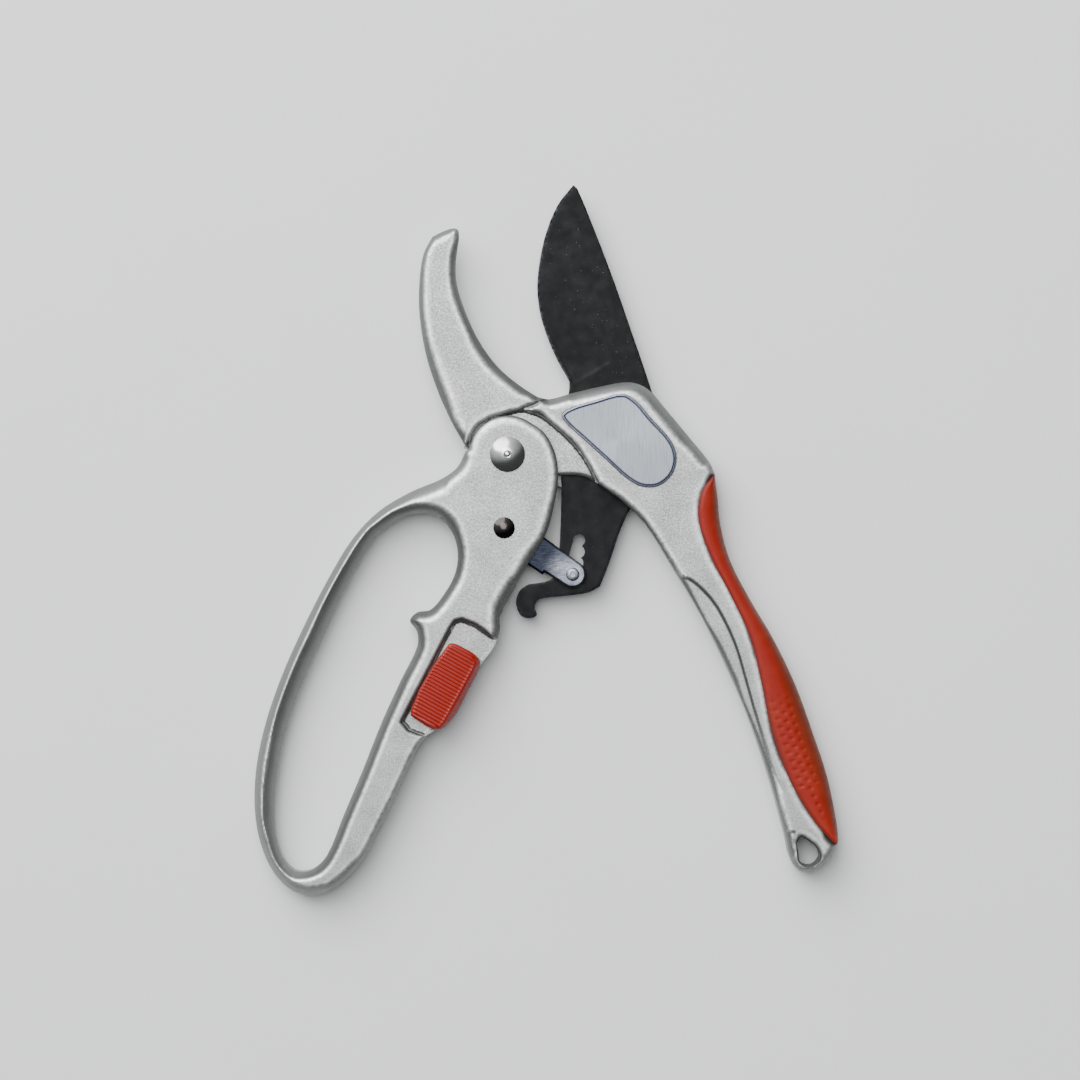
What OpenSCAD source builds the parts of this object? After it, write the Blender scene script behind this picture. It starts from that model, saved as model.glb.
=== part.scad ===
// Ratchet bypass pruning shears with a closed-loop handle, lying on its back.
// The origin is on the main pivot's axis in the back plane: X to the fixed handle's side,
// Y along the jaws, Z out of the front face.

/* [Overall] */
// Length of the open tool along Y; the plan outlines follow it
tool_length = 214; // [175:1:260]
// Thickness of both handle castings
body_t = 13.5; // [11:0.25:17]

/* [Blade and linkage] */
// Thickness of the cutting blade
blade_t = 2.8; // [2:0.1:3.6]
// Play on each side of the blade
blade_play = 0.1; // [0.05:0.05:0.3]
// Sheet thickness of the ratchet link
link_t = 1.5; // [1:0.1:2]
// Width of the ratchet link
link_w = 9.5; // [8:0.5:12]
// Radius of the pawl pin
pawl_r = 1.25; // [0.9:0.05:1.5]
// Radius of the link rivet's shank
link_rivet_r = 2; // [1.5:0.1:2.4]
// Gap between each lever cheek and the centre tongue
cheek_gap = 0.5; // [0.4:0.05:0.8]

/* [Pivots] */
// Radius of the main rivet's shank
pivot_r = 3.5; // [2.8:0.1:4.2]
// Radius of the main rivet's domed head
pivot_head_r = 5.25; // [4.6:0.05:7]
// Height of the main rivet's domed head
pivot_head_h = 2; // [1.2:0.1:3]
// Radius of the blade pivot screw
blade_pivot_r = 3; // [2.4:0.1:3.6]
// Wall of the bush pressed into the blade
bush_wall = 1; // [0.6:0.1:1.6]
// Radial running clearance of every turning fit
run_fit = 0.05; // [0.02:0.01:0.1]

/* [Opening spring] */
// Wire diameter of the opening spring
spring_wire = 1.1; // [0.8:0.1:1.3]
// Number of coils in the opening spring
spring_turns = 2.5; // [1.5:0.5:2.5]

/* [Lock] */
// Travel of the lock button
lock_travel = 6; // [4:0.25:7]
// Radius of the lock peg
peg_r = 1.3; // [0.9:0.05:1.5]
// Floor left under the lock button's pocket
pocket_floor_t = 1.1; // [0.8:0.1:1.6]
// Height of the button above the casting's face
button_rise = 2.2; // [1:0.1:3.5]
// Pitch of the button's ribs
rib_pitch = 1.05; // [0.8:0.05:2]

/* [Grip and label] */
// Depth of the label's recess
label_depth = 0.6; // [0.4:0.05:1]
// Gap left round the label plate
label_gap = 0.15; // [0.1:0.05:0.4]
// Share of the grip's width that the casting's rib fills
grip_rib_share = 0.5; // [0.3:0.05:0.7]
// Rubber left over each face of the casting's rib
grip_skin = 3; // [2:0.25:4]

/* [Hidden] */
$fn = 64;

// Plan scale and tiny overshoot for cuts
s = tool_length / 214;
over = 0.5;

// Levels of the stack, symmetric about the blade's middle
mid_z = body_t / 2;
slot_half = blade_t / 2 + blade_play;
link_half = slot_half + link_t;
cavity_half = link_half + cheek_gap;
blade_lo = mid_z - blade_t / 2;
slot_lo = mid_z - slot_half;
slot_hi = mid_z + slot_half;
tongue_lo = mid_z - link_half;
tongue_hi = mid_z + link_half;
cavity_lo = mid_z - cavity_half;
cavity_hi = mid_z + cavity_half;

// Head round the main pivot
head_r = 11.7 * s;
head_gap = 0.5;
tongue_r = head_r - 0.7;
spring_mean_r = pivot_r + 2.4;
spring_pocket_r = spring_mean_r + spring_wire / 2 + 0.8;
spring_hub_r = pivot_r + 0.8;
spring_floor = tongue_hi - (spring_turns + 1) * spring_wire * 1.04 - 0.15;
spring_leg_angle = -60;
spring_leg = spring_mean_r * [cos(spring_leg_angle), sin(spring_leg_angle)]
             + 0.6 * [-sin(spring_leg_angle), cos(spring_leg_angle)];

// Joint centres
blade_pivot = [34, 5] * s;
link_pivot = [-1, -22] * s;
pawl = [19.6, -36] * s;
link_len = norm(pawl - link_pivot);
link_angle = atan2(pawl[1] - link_pivot[1], pawl[0] - link_pivot[0]);

// Lock slider: its axis, and the peg that drops in beside the blade's tail
lock_angle = 61;
lock_dir = [cos(lock_angle), sin(lock_angle)];
peg_locked = [-10.2, -62.1] * s;
peg_free = peg_locked - lock_travel * lock_dir;
pocket_z = cavity_hi + pocket_floor_t;
button_lo = pocket_z + 0.15;
button_hi = body_t + button_rise;

// Outlines: control points of smooth curves, at a tool_length of 214
hook_outer = [[-12.7, 2.6], [-17, 10.2], [-21.3, 20], [-24.6, 30.5], [-26.4, 42], [-26.4, 52],
              [-25.2, 60], [-22.6, 65.2]];
hook_tip = [[-22.6, 65.2], [-19.5, 66.8], [-16.3, 67.8], [-14.8, 67.2], [-14.5, 65]];
hook_inner = [[-14.5, 65], [-15.5, 57.5], [-15.2, 51], [-12.7, 43], [-8.7, 34.3], [-3.2, 26.6],
              [3.5, 20.8], [9, 17.3]];
shoulder = [[9, 17.3], [12.5, 16.6], [19, 18.3], [28, 20.4], [36.5, 21.7], [42, 19.7],
            [48, 13], [55.5, 4], [60.5, -2.2], [62.2, -6]];
grip_outer = [[62.2, -6], [63.1, -12], [64, -21], [67, -32], [73.2, -44], [80, -55.5],
              [86.5, -69], [91.6, -83], [96.2, -97], [99, -111], [99.4, -116]];
grip_line = [[62.2, -6], [58.2, -11.5], [57.5, -20], [61.5, -31.5], [67, -42], [73, -55],
             [76.2, -68], [79.3, -82.5], [84.8, -97.5], [92.3, -110], [98.6, -117]];
butt = [[98.6, -117], [97.2, -120.4], [94, -123.6], [90.3, -125.2], [86.8, -124.2], [84.9, -121],
        [83.4, -114.5]];
inner_edge = [[83.4, -114.5], [79, -98.4], [73, -80.6], [66.5, -65.1], [58.2, -48.3],
              [49.8, -34.2], [41.3, -20.7], [34, -13.6], [27.2, -8.7]];
step_arc = [[27.2, -8.7], [25.3, -4.6], [22.4, 0.2], [18.7, 4.6], [14.4, 8.5], [10.2, 11.7],
            [4.6, 13.6]];
sector_front = [[27.2, -8.7], [23.5, -6.7], [19.5, -6.1], [14, -6.4]];
sector_back = [[27.2, -8.7], [22.5, -9.6], [17, -9.8], [13, -8.5]];
blade_room = [[46.2, 22], [47.9, 10], [48.3, 2], [48.1, -8], [47.8, -18], [48.6, -28], [50, -40]];
hang_hole = [[88, -114.6], [86.7, -116.5], [87.2, -119.5], [87.6, -122], [89.5, -123.5],
             [92, -123.3], [93.8, -121], [93, -118.3], [90.8, -116.2]];
label_edge = [[16.2, 12], [19.5, 14.2], [26, 16.2], [34.5, 18.3], [38.9, 15.8], [43, 11],
              [49, 4.3], [50.8, -1], [49.4, -6.2], [45.3, -9.6], [40.2, -9.8], [35.5, -7.2],
              [29, -1.3], [22.5, 4.6], [17.2, 9.5]];

lever_right = [[6.71, 9.58], [9.8, 7.6], [12.4, 4.6], [14.5, -0.5], [15.2, -6.5], [14.1, -14.5],
               [11.6, -23.5], [6.3, -32.4], [1.2, -41.8], [-2.2, -48.6], [-2.4, -53],
               [-4.4, -58.3], [-8, -63], [-11.5, -69], [-15, -75.5], [-19, -80.8], [-24, -84.1]];
lever_loop = [[-24, -84.1], [-27, -88.2], [-31, -96.5], [-35.4, -106], [-39.9, -115],
              [-43.6, -121.8], [-48.4, -127.2], [-53.8, -131], [-59.6, -132.4], [-65.8, -130.2],
              [-71.2, -124], [-74.8, -114.4], [-76, -104], [-75.3, -93], [-72.6, -80.5],
              [-68, -67], [-61.6, -52.5], [-54.2, -38], [-46.6, -25.4], [-38.6, -17],
              [-29, -11.2], [-20, -7.4], [-15.2, -4], [-12.6, 0.8]];
loop_inner = [[-40.5, -25.8], [-35.3, -20.9], [-28.3, -17.8], [-21.5, -18.3], [-16.8, -23],
              [-14.9, -29.7], [-16, -36.4], [-19.8, -43], [-23.3, -46.7], [-27.2, -47.4],
              [-29.3, -49.9], [-27.2, -53], [-27.1, -57.6], [-32, -67.7], [-37.8, -80.4],
              [-43.4, -94.5], [-49.5, -109], [-54.2, -120.3], [-58.8, -124.8], [-64.2, -124.9],
              [-68.3, -119.5], [-70.1, -109.5], [-69.4, -96.5], [-66.7, -82.5], [-62, -69],
              [-55.9, -55], [-48.8, -40]];
lever_cavity = [[-9, -9], [-7.6, -24], [-8.6, -48], [-18.4, -52.6], [-19.8, -58], [-18.6, -65],
                [-17.5, -70.8], [-8, -71.2], [4, -60], [24, -40], [24, 15], [0, 15]];
lock_pocket = [[-16.9, -51.8], [-15.6, -50], [-13.6, -49.5], [-9.8, -51], [-4.8, -54.4],
               [3, -58], [-14, -86], [-25, -84.4], [-29.5, -82.7], [-31.7, -80.2]];
button_edge = [[-17.6, -56.8], [-13.2, -57.9], [-8.8, -60.9], [-8.3, -63.6], [-11.4, -70],
               [-15, -77], [-18.8, -81.6], [-21.6, -82.4], [-25.6, -80.4], [-29.2, -77]];

blade_edge = [[19.8, 81.2], [15, 75], [11.2, 65.5], [9.2, 55], [9, 48], [10.4, 40], [14.2, 30],
              [18.6, 22]];
blade_heel = [[18.6, 22], [18.4, 18.6], [16.6, 12], [15.6, 2], [16.2, -9], [15.7, -26],
              [14.7, -35], [12.6, -37.8], [6.2, -39]];
blade_tail = [[6.2, -39], [3.6, -41], [2.5, -44.5], [4, -48.4], [6.6, -49.2], [8.8, -48.2],
              [8.2, -45.8], [9.6, -43.5], [16, -42.6], [24, -41.5], [27.8, -39.6]];
blade_back = [[27.8, -39.6], [30.4, -33], [34, -22.4], [37, -16], [41.6, -9], [45.1, -2],
              [46, 5], [45.3, 12], [43.4, 19], [38, 35], [31, 55], [23.4, 74.5], [21, 80]];
// Ratchet notches in the blade, lowest first, and the way the pawl takes past them
notches = [[19.9, -36], [21, -32.6], [21.4, -29.2], [21.5, -25.7]];
notch_r = pawl_r + 0.6;
pawl_way = [[19.6, -36], [19.6, -34], [19.8, -31.9], [20.3, -29.5], [21, -27], [21.4, -25.7]];

// A point of the smooth curve between b and c, with a and d as their outer neighbours
function unit(v) = v / max(norm(v), 1e-9);
function slope(a, b, c) = (c - a) / max(norm(b - a) + norm(c - b), 1e-9);
function blend(b, c, mb, mc, t) =
    (2 * t * t * t - 3 * t * t + 1) * b + (3 * t * t - 2 * t * t * t) * c
    + norm(c - b) * ((t * t * t - 2 * t * t + t) * mb + (t * t * t - t * t) * mc);

// Smooth open run through points p, n steps between neighbours, both ends kept
function run(p, n = 4) = let (m = len(p) - 1) s * concat(
    [for (i = [0 : m - 1], k = [0 : n - 1])
        blend(p[i], p[i + 1],
              i == 0 ? unit(p[1] - p[0]) : slope(p[i - 1], p[i], p[i + 1]),
              i == m - 1 ? unit(p[m] - p[m - 1]) : slope(p[i], p[i + 1], p[i + 2]), k / n)],
    [p[m]]);
function after(r) = [for (i = [1 : len(r) - 1]) r[i]];
function before(r) = [for (i = [0 : len(r) - 2]) r[i]];
function reversed(r) = [for (i = [len(r) - 1 : -1 : 0]) r[i]];

// Smooth closed outline through points p
function ring(p, n = 4) = let (m = len(p)) s * [for (i = [0 : m - 1], k = [0 : n - 1])
    blend(p[i], p[(i + 1) % m], slope(p[(i + m - 1) % m], p[i], p[(i + 1) % m]),
          slope(p[i], p[(i + 1) % m], p[(i + 2) % m]), k / n)];

// Closed outline moved inward by d along each corner's normal (outline runs clockwise)
function inset(r, d) = let (m = len(r)) [for (i = [0 : m - 1])
    let (t = unit(r[(i + 1) % m] - r[(i + m - 1) % m])) r[i] + d * [t[1], -t[0]]];

// Points of an arc about the main pivot
function pivot_arc(r, from, to, steps) =
    [for (i = [0 : steps]) let (a = from + (to - from) * i / steps) r * [cos(a), sin(a)]];

// Outlines of the castings
jaw_edge = concat(run(hook_outer), after(run(hook_tip)), after(run(hook_inner)));
handle_edge = concat(after(run(shoulder)), after(run(grip_line)), after(run(butt)),
                     after(run(inner_edge)));
front_plan = concat(jaw_edge, handle_edge, after(run(step_arc)),
                    pivot_arc(head_r + head_gap, 104, 172, 14));
back_plan = concat([s * [5.5, 16]], [s * [9, 17.3]], handle_edge, after(run(step_arc)));
sector_wall = concat(pivot_arc(head_r + head_gap + 1, 172, 104, 14), [s * [7, 15.5]],
                     [s * [20, 8]], [s * [30, -7]]);
lever_plan = concat(pivot_arc(head_r, 172, 56, 24), run(lever_right), after(run(lever_loop)));

module slab(points, lo, hi) {
    translate([0, 0, lo]) linear_extrude(hi - lo) polygon(points);
}

module rod(at, r, lo, hi) {
    translate([at[0], at[1], lo]) cylinder(r = r, h = hi - lo);
}

// Straight-sided slot with round ends between two centres
module round_slot(from, to, r, lo, hi) {
    rod(from, r, lo, hi);
    rod(to, r, lo, hi);
    translate([from[0], from[1], lo])
        rotate([0, 0, atan2(to[1] - from[1], to[0] - from[0])])
            translate([0, -r, 0]) cube([norm(to - from), 2 * r, hi - lo]);
}

// Domed head: a spherical cap on a short straight rim
module dome(at, r, lo, h) {
    rim = h * 0.3;
    rise = h - rim;
    ball = (r * r + rise * rise) / (2 * rise);
    translate([at[0], at[1], lo]) rotate_extrude()
        polygon(concat([[0, 0], [r, 0], [r, rim]],
            [for (i = [1 : 8]) let (x = r * (1 - i / 8)) [x, h - ball + sqrt(ball * ball - x * x)]]));
}

// Round wire swept along points, w across, closed at both ends
module wire(path, w) {
    sides = 10;
    last = len(path) - 1;
    rings = [for (i = [0 : last])
        let (t = unit(path[min(i + 1, last)] - path[max(i - 1, 0)]),
             side = abs(t[2]) > 0.9 ? [1, 0, 0] : [0, 0, 1],
             u = unit(cross(t, side)), v = cross(t, u))
        for (k = [0 : sides - 1])
            path[i] + w / 2 * (cos(360 * k / sides) * u + sin(360 * k / sides) * v)];
    polyhedron(rings, concat(
        [[for (k = [0 : sides - 1]) k]],
        [for (i = [0 : last - 1], k = [0 : sides - 1])
            [i * sides + k, (i + 1) * sides + k, (i + 1) * sides + (k + 1) % sides,
             i * sides + (k + 1) % sides]],
        [[for (k = [sides - 1 : -1 : 0]) last * sides + k]]));
}

// Coil about a vertical axis: turns of wire w on radius r, starting at the given angle
function coil(at, r, w, turns, from, lo) = let (steps = ceil(turns * 20))
    [for (i = [0 : steps]) let (a = from + 360 * turns * i / steps)
        [at[0] + r * cos(a), at[1] + r * sin(a), lo + w / 2 + w * 1.04 * turns * i / steps]];

// Jaw, label body and fixed handle, with the tongue that fills the lever's fork
module fixed_handle_casting() {
    color("silver") difference() {
        union() {
            slab(front_plan, slot_hi, body_t);
            slab(back_plan, 0, slot_lo);
            slab(concat(reversed(run(sector_front)), reversed(sector_wall)), slot_hi, tongue_hi);
            slab(concat(reversed(run(sector_back)), reversed(sector_wall)), tongue_lo, slot_lo);
            difference() {
                slab(back_plan, slot_lo - 0.01, slot_hi + 0.01);
                slab(concat(run(blade_room), s * [[-30, -40], [-30, 22]]), slot_lo - 1, slot_hi + 1);
            }
            rod([0, 0], tongue_r, tongue_lo, tongue_hi);
            grip_rib();
        }
        slab(concat(pivot_arc(head_r + head_gap, 104, 268, 30), s * [[0, -30], [40, -30]],
                    before(run(sector_front)), s * [[13, 5], [6, 12]]), tongue_hi, body_t + over);
        slab(concat(pivot_arc(head_r + head_gap, 60, 268, 36), s * [[0, -30], [27, -30]],
                    before(run(step_arc))), -over, tongue_lo);
        // main rivet, opening spring's pocket and its lower leg's notch
        rod([0, 0], pivot_r, -over, body_t);
        difference() {
            rod([0, 0], spring_pocket_r, spring_floor, body_t);
            rod([0, 0], spring_hub_r, spring_floor - over, tongue_hi);
        }
        rotate([0, 0, 120]) translate([spring_mean_r, -spring_wire, spring_floor])
            cube([spring_pocket_r - spring_mean_r + 1.6, 2 * spring_wire, spring_wire * 1.6]);
        // blade pivot screw, its head under the label and its nut in the back
        rod(blade_pivot, blade_pivot_r, -over, body_t);
        rod(blade_pivot, blade_pivot_r + 1.6, body_t - label_depth - 1.8, body_t);
        rod(blade_pivot, blade_pivot_r + 2, -over, 2.2);
        slab(ring(label_edge), body_t - label_depth, body_t + over);
        slab(ring(hang_hole), -over, body_t + over);
    }
}

// Rib of the casting inside the rubber grip
module grip_rib() {
    rib = [for (i = [0 : len(grip_line) - 1])
        grip_line[i] * (1 - grip_rib_share) + grip_outer[i] * grip_rib_share];
    slab(concat(run(grip_line), reversed(before(after(run(rib))))), grip_skin, body_t - grip_skin);
}

// Rubber grip moulded over the handle's outer side
module handle_grip() {
    color("firebrick") difference() {
        slab(concat(run(grip_outer), [s * [98.9, -116.9]], reversed(after(run(grip_line)))), 0, body_t);
        grip_rib();
    }
}

module label_plate() {
    color("gainsboro")
        slab(inset(ring(label_edge), label_gap), body_t - label_depth, body_t - 0.1);
}

module main_pivot_rivet() {
    color("whitesmoke") difference() {
        union() {
            rod([0, 0], pivot_r, 0, body_t + run_fit + 0.2);
            dome([0, 0], pivot_head_r, body_t + run_fit, pivot_head_h);
        }
        rod([0, 0], 1, body_t + pivot_head_h - 0.35, body_t + pivot_head_h + over);
    }
}

module main_pivot_collar() {
    color("dimgray") difference() {
        rod([0, 0], pivot_head_r, 0, 1.5);
        rod([0, 0], pivot_r, -over, 1.5 + over);
    }
}

// Two wear washers between the tongue and the lever's cheeks
module pivot_washers() {
    play = run_fit;
    color("dimgray") for (lo = [cavity_lo + play, tongue_hi + play]) difference() {
        rod([0, 0], tongue_r - 0.4, lo, lo + cheek_gap - 2 * play);
        rod([0, 0], spring_pocket_r + 0.2, lo - over, lo + cheek_gap + over);
    }
}

// Torsion spring that opens the handles: coils in the tongue, one leg in the lever's cheek
module opening_spring() {
    start = spring_leg_angle - 360 * spring_turns;
    turns = coil([0, 0], spring_mean_r, spring_wire, spring_turns, start, spring_floor + 0.05);
    top = turns[len(turns) - 1];
    first = turns[0];
    foot_dir = [cos(120), sin(120)];
    color("lightsteelblue") wire(concat(
        [[foot_dir[0] * (spring_pocket_r + 1), foot_dir[1] * (spring_pocket_r + 1), first[2]]],
        turns, [[spring_leg[0], spring_leg[1], top[2] + spring_wire],
                [spring_leg[0], spring_leg[1], cavity_hi + 1.2]]), spring_wire);
}

module blade_pivot_screw() {
    head_lo = body_t - label_depth - 1.8;
    color("silver") union() {
        rod(blade_pivot, blade_pivot_r, 0, head_lo + 0.2);
        rod(blade_pivot, blade_pivot_r + 1.5, head_lo, head_lo + 1.7);
    }
}

module blade_pivot_nut() {
    color("dimgray") difference() {
        rod(blade_pivot, blade_pivot_r + 1.9, 0, 2.1);
        rod(blade_pivot, blade_pivot_r, -over, 2.1 + over);
    }
}

// Moving handle: fork round the tongue, arm with the lock's pocket, and the finger loop
module lever_handle_casting() {
    color("silver") difference() {
        slab(lever_plan, 0, body_t);
        slab(ring(loop_inner), -over, body_t + over);
        slab(s * lever_cavity, cavity_lo, cavity_hi);
        rod([0, 0], head_r + head_gap, cavity_lo, cavity_hi);
        rod([0, 0], pivot_r + run_fit, -over, body_t + over);
        rod([0, 0], pivot_head_r + 0.2, -over, 1.6);
        rod(link_pivot, link_rivet_r, -over, body_t + over);
        rod(link_pivot, link_rivet_r + 1.3, -over, 0.9);
        // hole for the opening spring's upper leg
        rod(spring_leg, spring_wire / 2 + 0.3, cavity_hi - over, cavity_hi + 1.6);
        slab(s * lock_pocket, pocket_z, body_t + over);
        round_slot(peg_free, peg_locked, peg_r + 0.3, cavity_hi - over, body_t);
    }
}

module link_rivet() {
    color("gainsboro") union() {
        rod(link_pivot, link_rivet_r, 0, body_t + 0.2);
        dome(link_pivot, link_rivet_r + 1.2, body_t, 1.1);
    }
}

module link_rivet_collar() {
    color("dimgray") difference() {
        rod(link_pivot, link_rivet_r + 1.25, 0, 0.85);
        rod(link_pivot, link_rivet_r, -over, 0.85 + over);
    }
}

// Place children in the link's own axes: X from its rivet to the pawl pin
module along_link() {
    translate([link_pivot[0], link_pivot[1], 0]) rotate([0, 0, link_angle]) children();
}

// Two flat cheeks joined by a web on their lower side
module link_channel() {
    half = link_w / 2;
    far = half - 0.75;
    color("lightsteelblue") along_link() difference() {
        union() {
            for (lo = [tongue_lo, slot_hi]) {
                rod([0, 0], half, lo, lo + link_t);
                rod([link_len, 0], far, lo, lo + link_t);
                slab([[0, half], [link_len, far], [link_len, -far], [0, -half]], lo, lo + link_t);
            }
            slab([[link_len * 0.4, -half + 0.8], [link_len * 0.7, -half + 0.9],
                  [link_len * 0.7, -half - 0.4], [link_len * 0.4, -half - 0.4]], tongue_lo, tongue_hi);
        }
        rod([0, 0], link_rivet_r + run_fit, 0, body_t);
        rod([link_len, 0], pawl_r, 0, body_t);
    }
}

// Light torsion spring that swings the link up the ratchet
module link_spring() {
    w = 0.7;
    mean = link_rivet_r + 0.65;
    count = floor(2 * (slot_hi - slot_lo - w - 0.3) / (w * 1.04)) / 2;
    turns = coil([0, 0], mean, w, count, 90 - 360 * count, slot_lo + 0.15);
    last = turns[len(turns) - 1];
    color("lightsteelblue") along_link() wire(concat(
        [turns[0] + [turns[0][0] > 0 ? 1.2 : -1.2, -0.3, 0]], turns,
        [[mean + 1.5, mean + 0.1, last[2]], [link_len * 0.38, mean - 0.6, last[2]]]), w);
}

module pawl_pin() {
    head = 0.75;
    color("gray") union() {
        rod(pawl, pawl_r, tongue_lo - head, tongue_hi + head);
        rod(pawl, pawl_r + 0.75, tongue_lo - head, tongue_lo);
        rod(pawl, pawl_r + 0.75, tongue_hi, tongue_hi + head);
    }
}

module cutting_blade() {
    color("darkslategray") difference() {
        slab(concat(run(blade_edge), after(run(blade_heel)), after(run(blade_tail)),
                    after(run(blade_back))), blade_lo, blade_lo + blade_t);
        rod(blade_pivot, blade_pivot_r + run_fit + bush_wall, 0, body_t);
        for (n = notches) rod(s * n, notch_r, 0, body_t);
        for (i = [1 : len(pawl_way) - 1])
            round_slot(s * pawl_way[i - 1], s * pawl_way[i], pawl_r + 0.3, 0, body_t);
    }
}

module blade_bush() {
    color("peru") difference() {
        rod(blade_pivot, blade_pivot_r + run_fit + bush_wall, blade_lo, blade_lo + blade_t);
        rod(blade_pivot, blade_pivot_r + run_fit, 0, body_t);
    }
}

// Ribbed lock button in the arm's pocket
module lock_button() {
    groove = 0.5;
    reach = 26 * s;
    color("firebrick") difference() {
        slab(ring(button_edge, 3), button_lo, button_hi);
        translate([peg_free[0], peg_free[1], button_hi - groove]) rotate([0, 0, lock_angle])
            for (x = [-15 * s : rib_pitch : 9 * s])
                translate([x, -reach / 2, 0]) cube([rib_pitch / 2, reach, groove + over]);
        rod(peg_free, peg_r, button_lo - over, button_lo + 2);
    }
}

module lock_peg() {
    color("silver") rod(peg_free, peg_r, blade_lo - 0.4, button_lo + 2);
}

module lock_retainer() {
    color("dimgray") difference() {
        rod(peg_free, peg_r + 1.4, cavity_hi - 1.1, cavity_hi - 0.5);
        rod(peg_free, peg_r, 0, body_t);
    }
}

module lock_wave_washer() {
    color("lightsteelblue") difference() {
        rod(peg_free, peg_r + 1.2, cavity_hi - 0.45, cavity_hi - 0.1);
        rod(peg_free, peg_r + 0.3, 0, body_t);
    }
}

fixed_handle_casting();
handle_grip();
label_plate();
main_pivot_rivet();
main_pivot_collar();
pivot_washers();
opening_spring();
blade_pivot_screw();
blade_pivot_nut();
lever_handle_casting();
link_rivet();
link_rivet_collar();
link_spring();
link_channel();
pawl_pin();
cutting_blade();
blade_bush();
lock_button();
lock_peg();
lock_retainer();
lock_wave_washer();
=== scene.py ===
"""Looks of a pair of ratchet bypass pruning shears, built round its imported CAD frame.

Lengths inside this file are millimetres in the CAD frame, and mesh data is written in metres. A casting's
rounded faces are height fields: z is a function of x and y on a grid. The field is then cut by the CAD
solid, which brings the fork, slots, bores and pockets.
"""
import logging
import math
from contextlib import contextmanager
from dataclasses import dataclass
from enum import Enum
from typing import Callable, Iterator

import bmesh
import bpy
import numpy as np
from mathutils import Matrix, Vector


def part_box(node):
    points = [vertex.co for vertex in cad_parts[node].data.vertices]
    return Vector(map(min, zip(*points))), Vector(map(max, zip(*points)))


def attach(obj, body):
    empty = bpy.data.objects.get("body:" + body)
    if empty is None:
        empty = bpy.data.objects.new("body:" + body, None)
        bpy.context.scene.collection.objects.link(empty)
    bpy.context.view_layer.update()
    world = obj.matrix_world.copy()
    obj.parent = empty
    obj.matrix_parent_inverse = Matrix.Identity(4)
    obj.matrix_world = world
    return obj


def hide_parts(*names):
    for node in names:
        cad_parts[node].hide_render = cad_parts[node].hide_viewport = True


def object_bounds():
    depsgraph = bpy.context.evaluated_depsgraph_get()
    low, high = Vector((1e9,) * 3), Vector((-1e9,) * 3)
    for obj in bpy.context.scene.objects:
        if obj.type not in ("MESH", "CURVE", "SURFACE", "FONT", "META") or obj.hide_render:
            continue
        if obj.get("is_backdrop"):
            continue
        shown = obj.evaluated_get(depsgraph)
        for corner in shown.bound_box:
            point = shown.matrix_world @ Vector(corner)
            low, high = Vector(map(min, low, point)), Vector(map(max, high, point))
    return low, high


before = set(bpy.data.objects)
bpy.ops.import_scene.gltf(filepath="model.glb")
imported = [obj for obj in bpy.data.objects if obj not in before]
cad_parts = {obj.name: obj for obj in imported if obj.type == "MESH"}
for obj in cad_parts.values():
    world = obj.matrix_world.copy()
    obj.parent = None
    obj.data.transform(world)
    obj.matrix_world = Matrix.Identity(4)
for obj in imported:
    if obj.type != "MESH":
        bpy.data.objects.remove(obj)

MM = 0.001
LOG = logging.getLogger("shears")
Array = np.ndarray
Field = Callable[[Array], Array]
Socket = bpy.types.NodeSocket
WALL_CELLS = 1.5  # grid cells outside a wall where a height field may jump


def corners(node: str) -> tuple[Array, Array]:
    """Lowest and highest corner of a CAD node, in millimetres."""
    low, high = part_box(node)
    return np.array(low) / MM, np.array(high) / MM


def centre(node: str) -> Array:
    """Middle of a CAD node's box, in millimetres."""
    low, high = corners(node)
    return (low + high) / 2


@contextmanager
def edited(mesh: bpy.types.Mesh) -> Iterator[bmesh.types.BMesh]:
    """Opens a mesh for editing and writes it back."""
    work = bmesh.new()
    work.from_mesh(mesh)
    yield work
    work.to_mesh(mesh)
    work.free()


def turn_out(work: bmesh.types.BMesh) -> None:
    """Turns the faces of a closed mesh outward when its volume comes out negative."""
    if work.calc_volume(signed=True) < 0:
        bmesh.ops.reverse_faces(work, faces=work.faces)


def gather(items: object, key: str, width: int = 1, kind: type = float) -> Array:
    """One value, or one row of width values, from every item of a mesh's list."""
    flat = np.empty(len(items) * width, kind)
    items.foreach_get(key, flat)
    return flat.reshape(-1, width) if width > 1 else flat


# ---------------------------------------------------------------- geometry read from the frame


def merged_copy(node: str) -> bpy.types.Mesh:
    """Returns a copy of a CAD node's mesh whose loose triangles are joined.

    Args:
        node: name of the CAD node.

    Returns:
        A new closed mesh in the CAD frame.
    """
    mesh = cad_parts[node].data.copy()
    mesh.materials.clear()
    with edited(mesh) as work:
        bmesh.ops.remove_doubles(work, verts=work.verts, dist=1e-7)
    for name in [a.name for a in mesh.attributes if a.name in ("sharp_face", "sharp_edge")]:
        mesh.attributes.remove(mesh.attributes[name])
    return mesh


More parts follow.
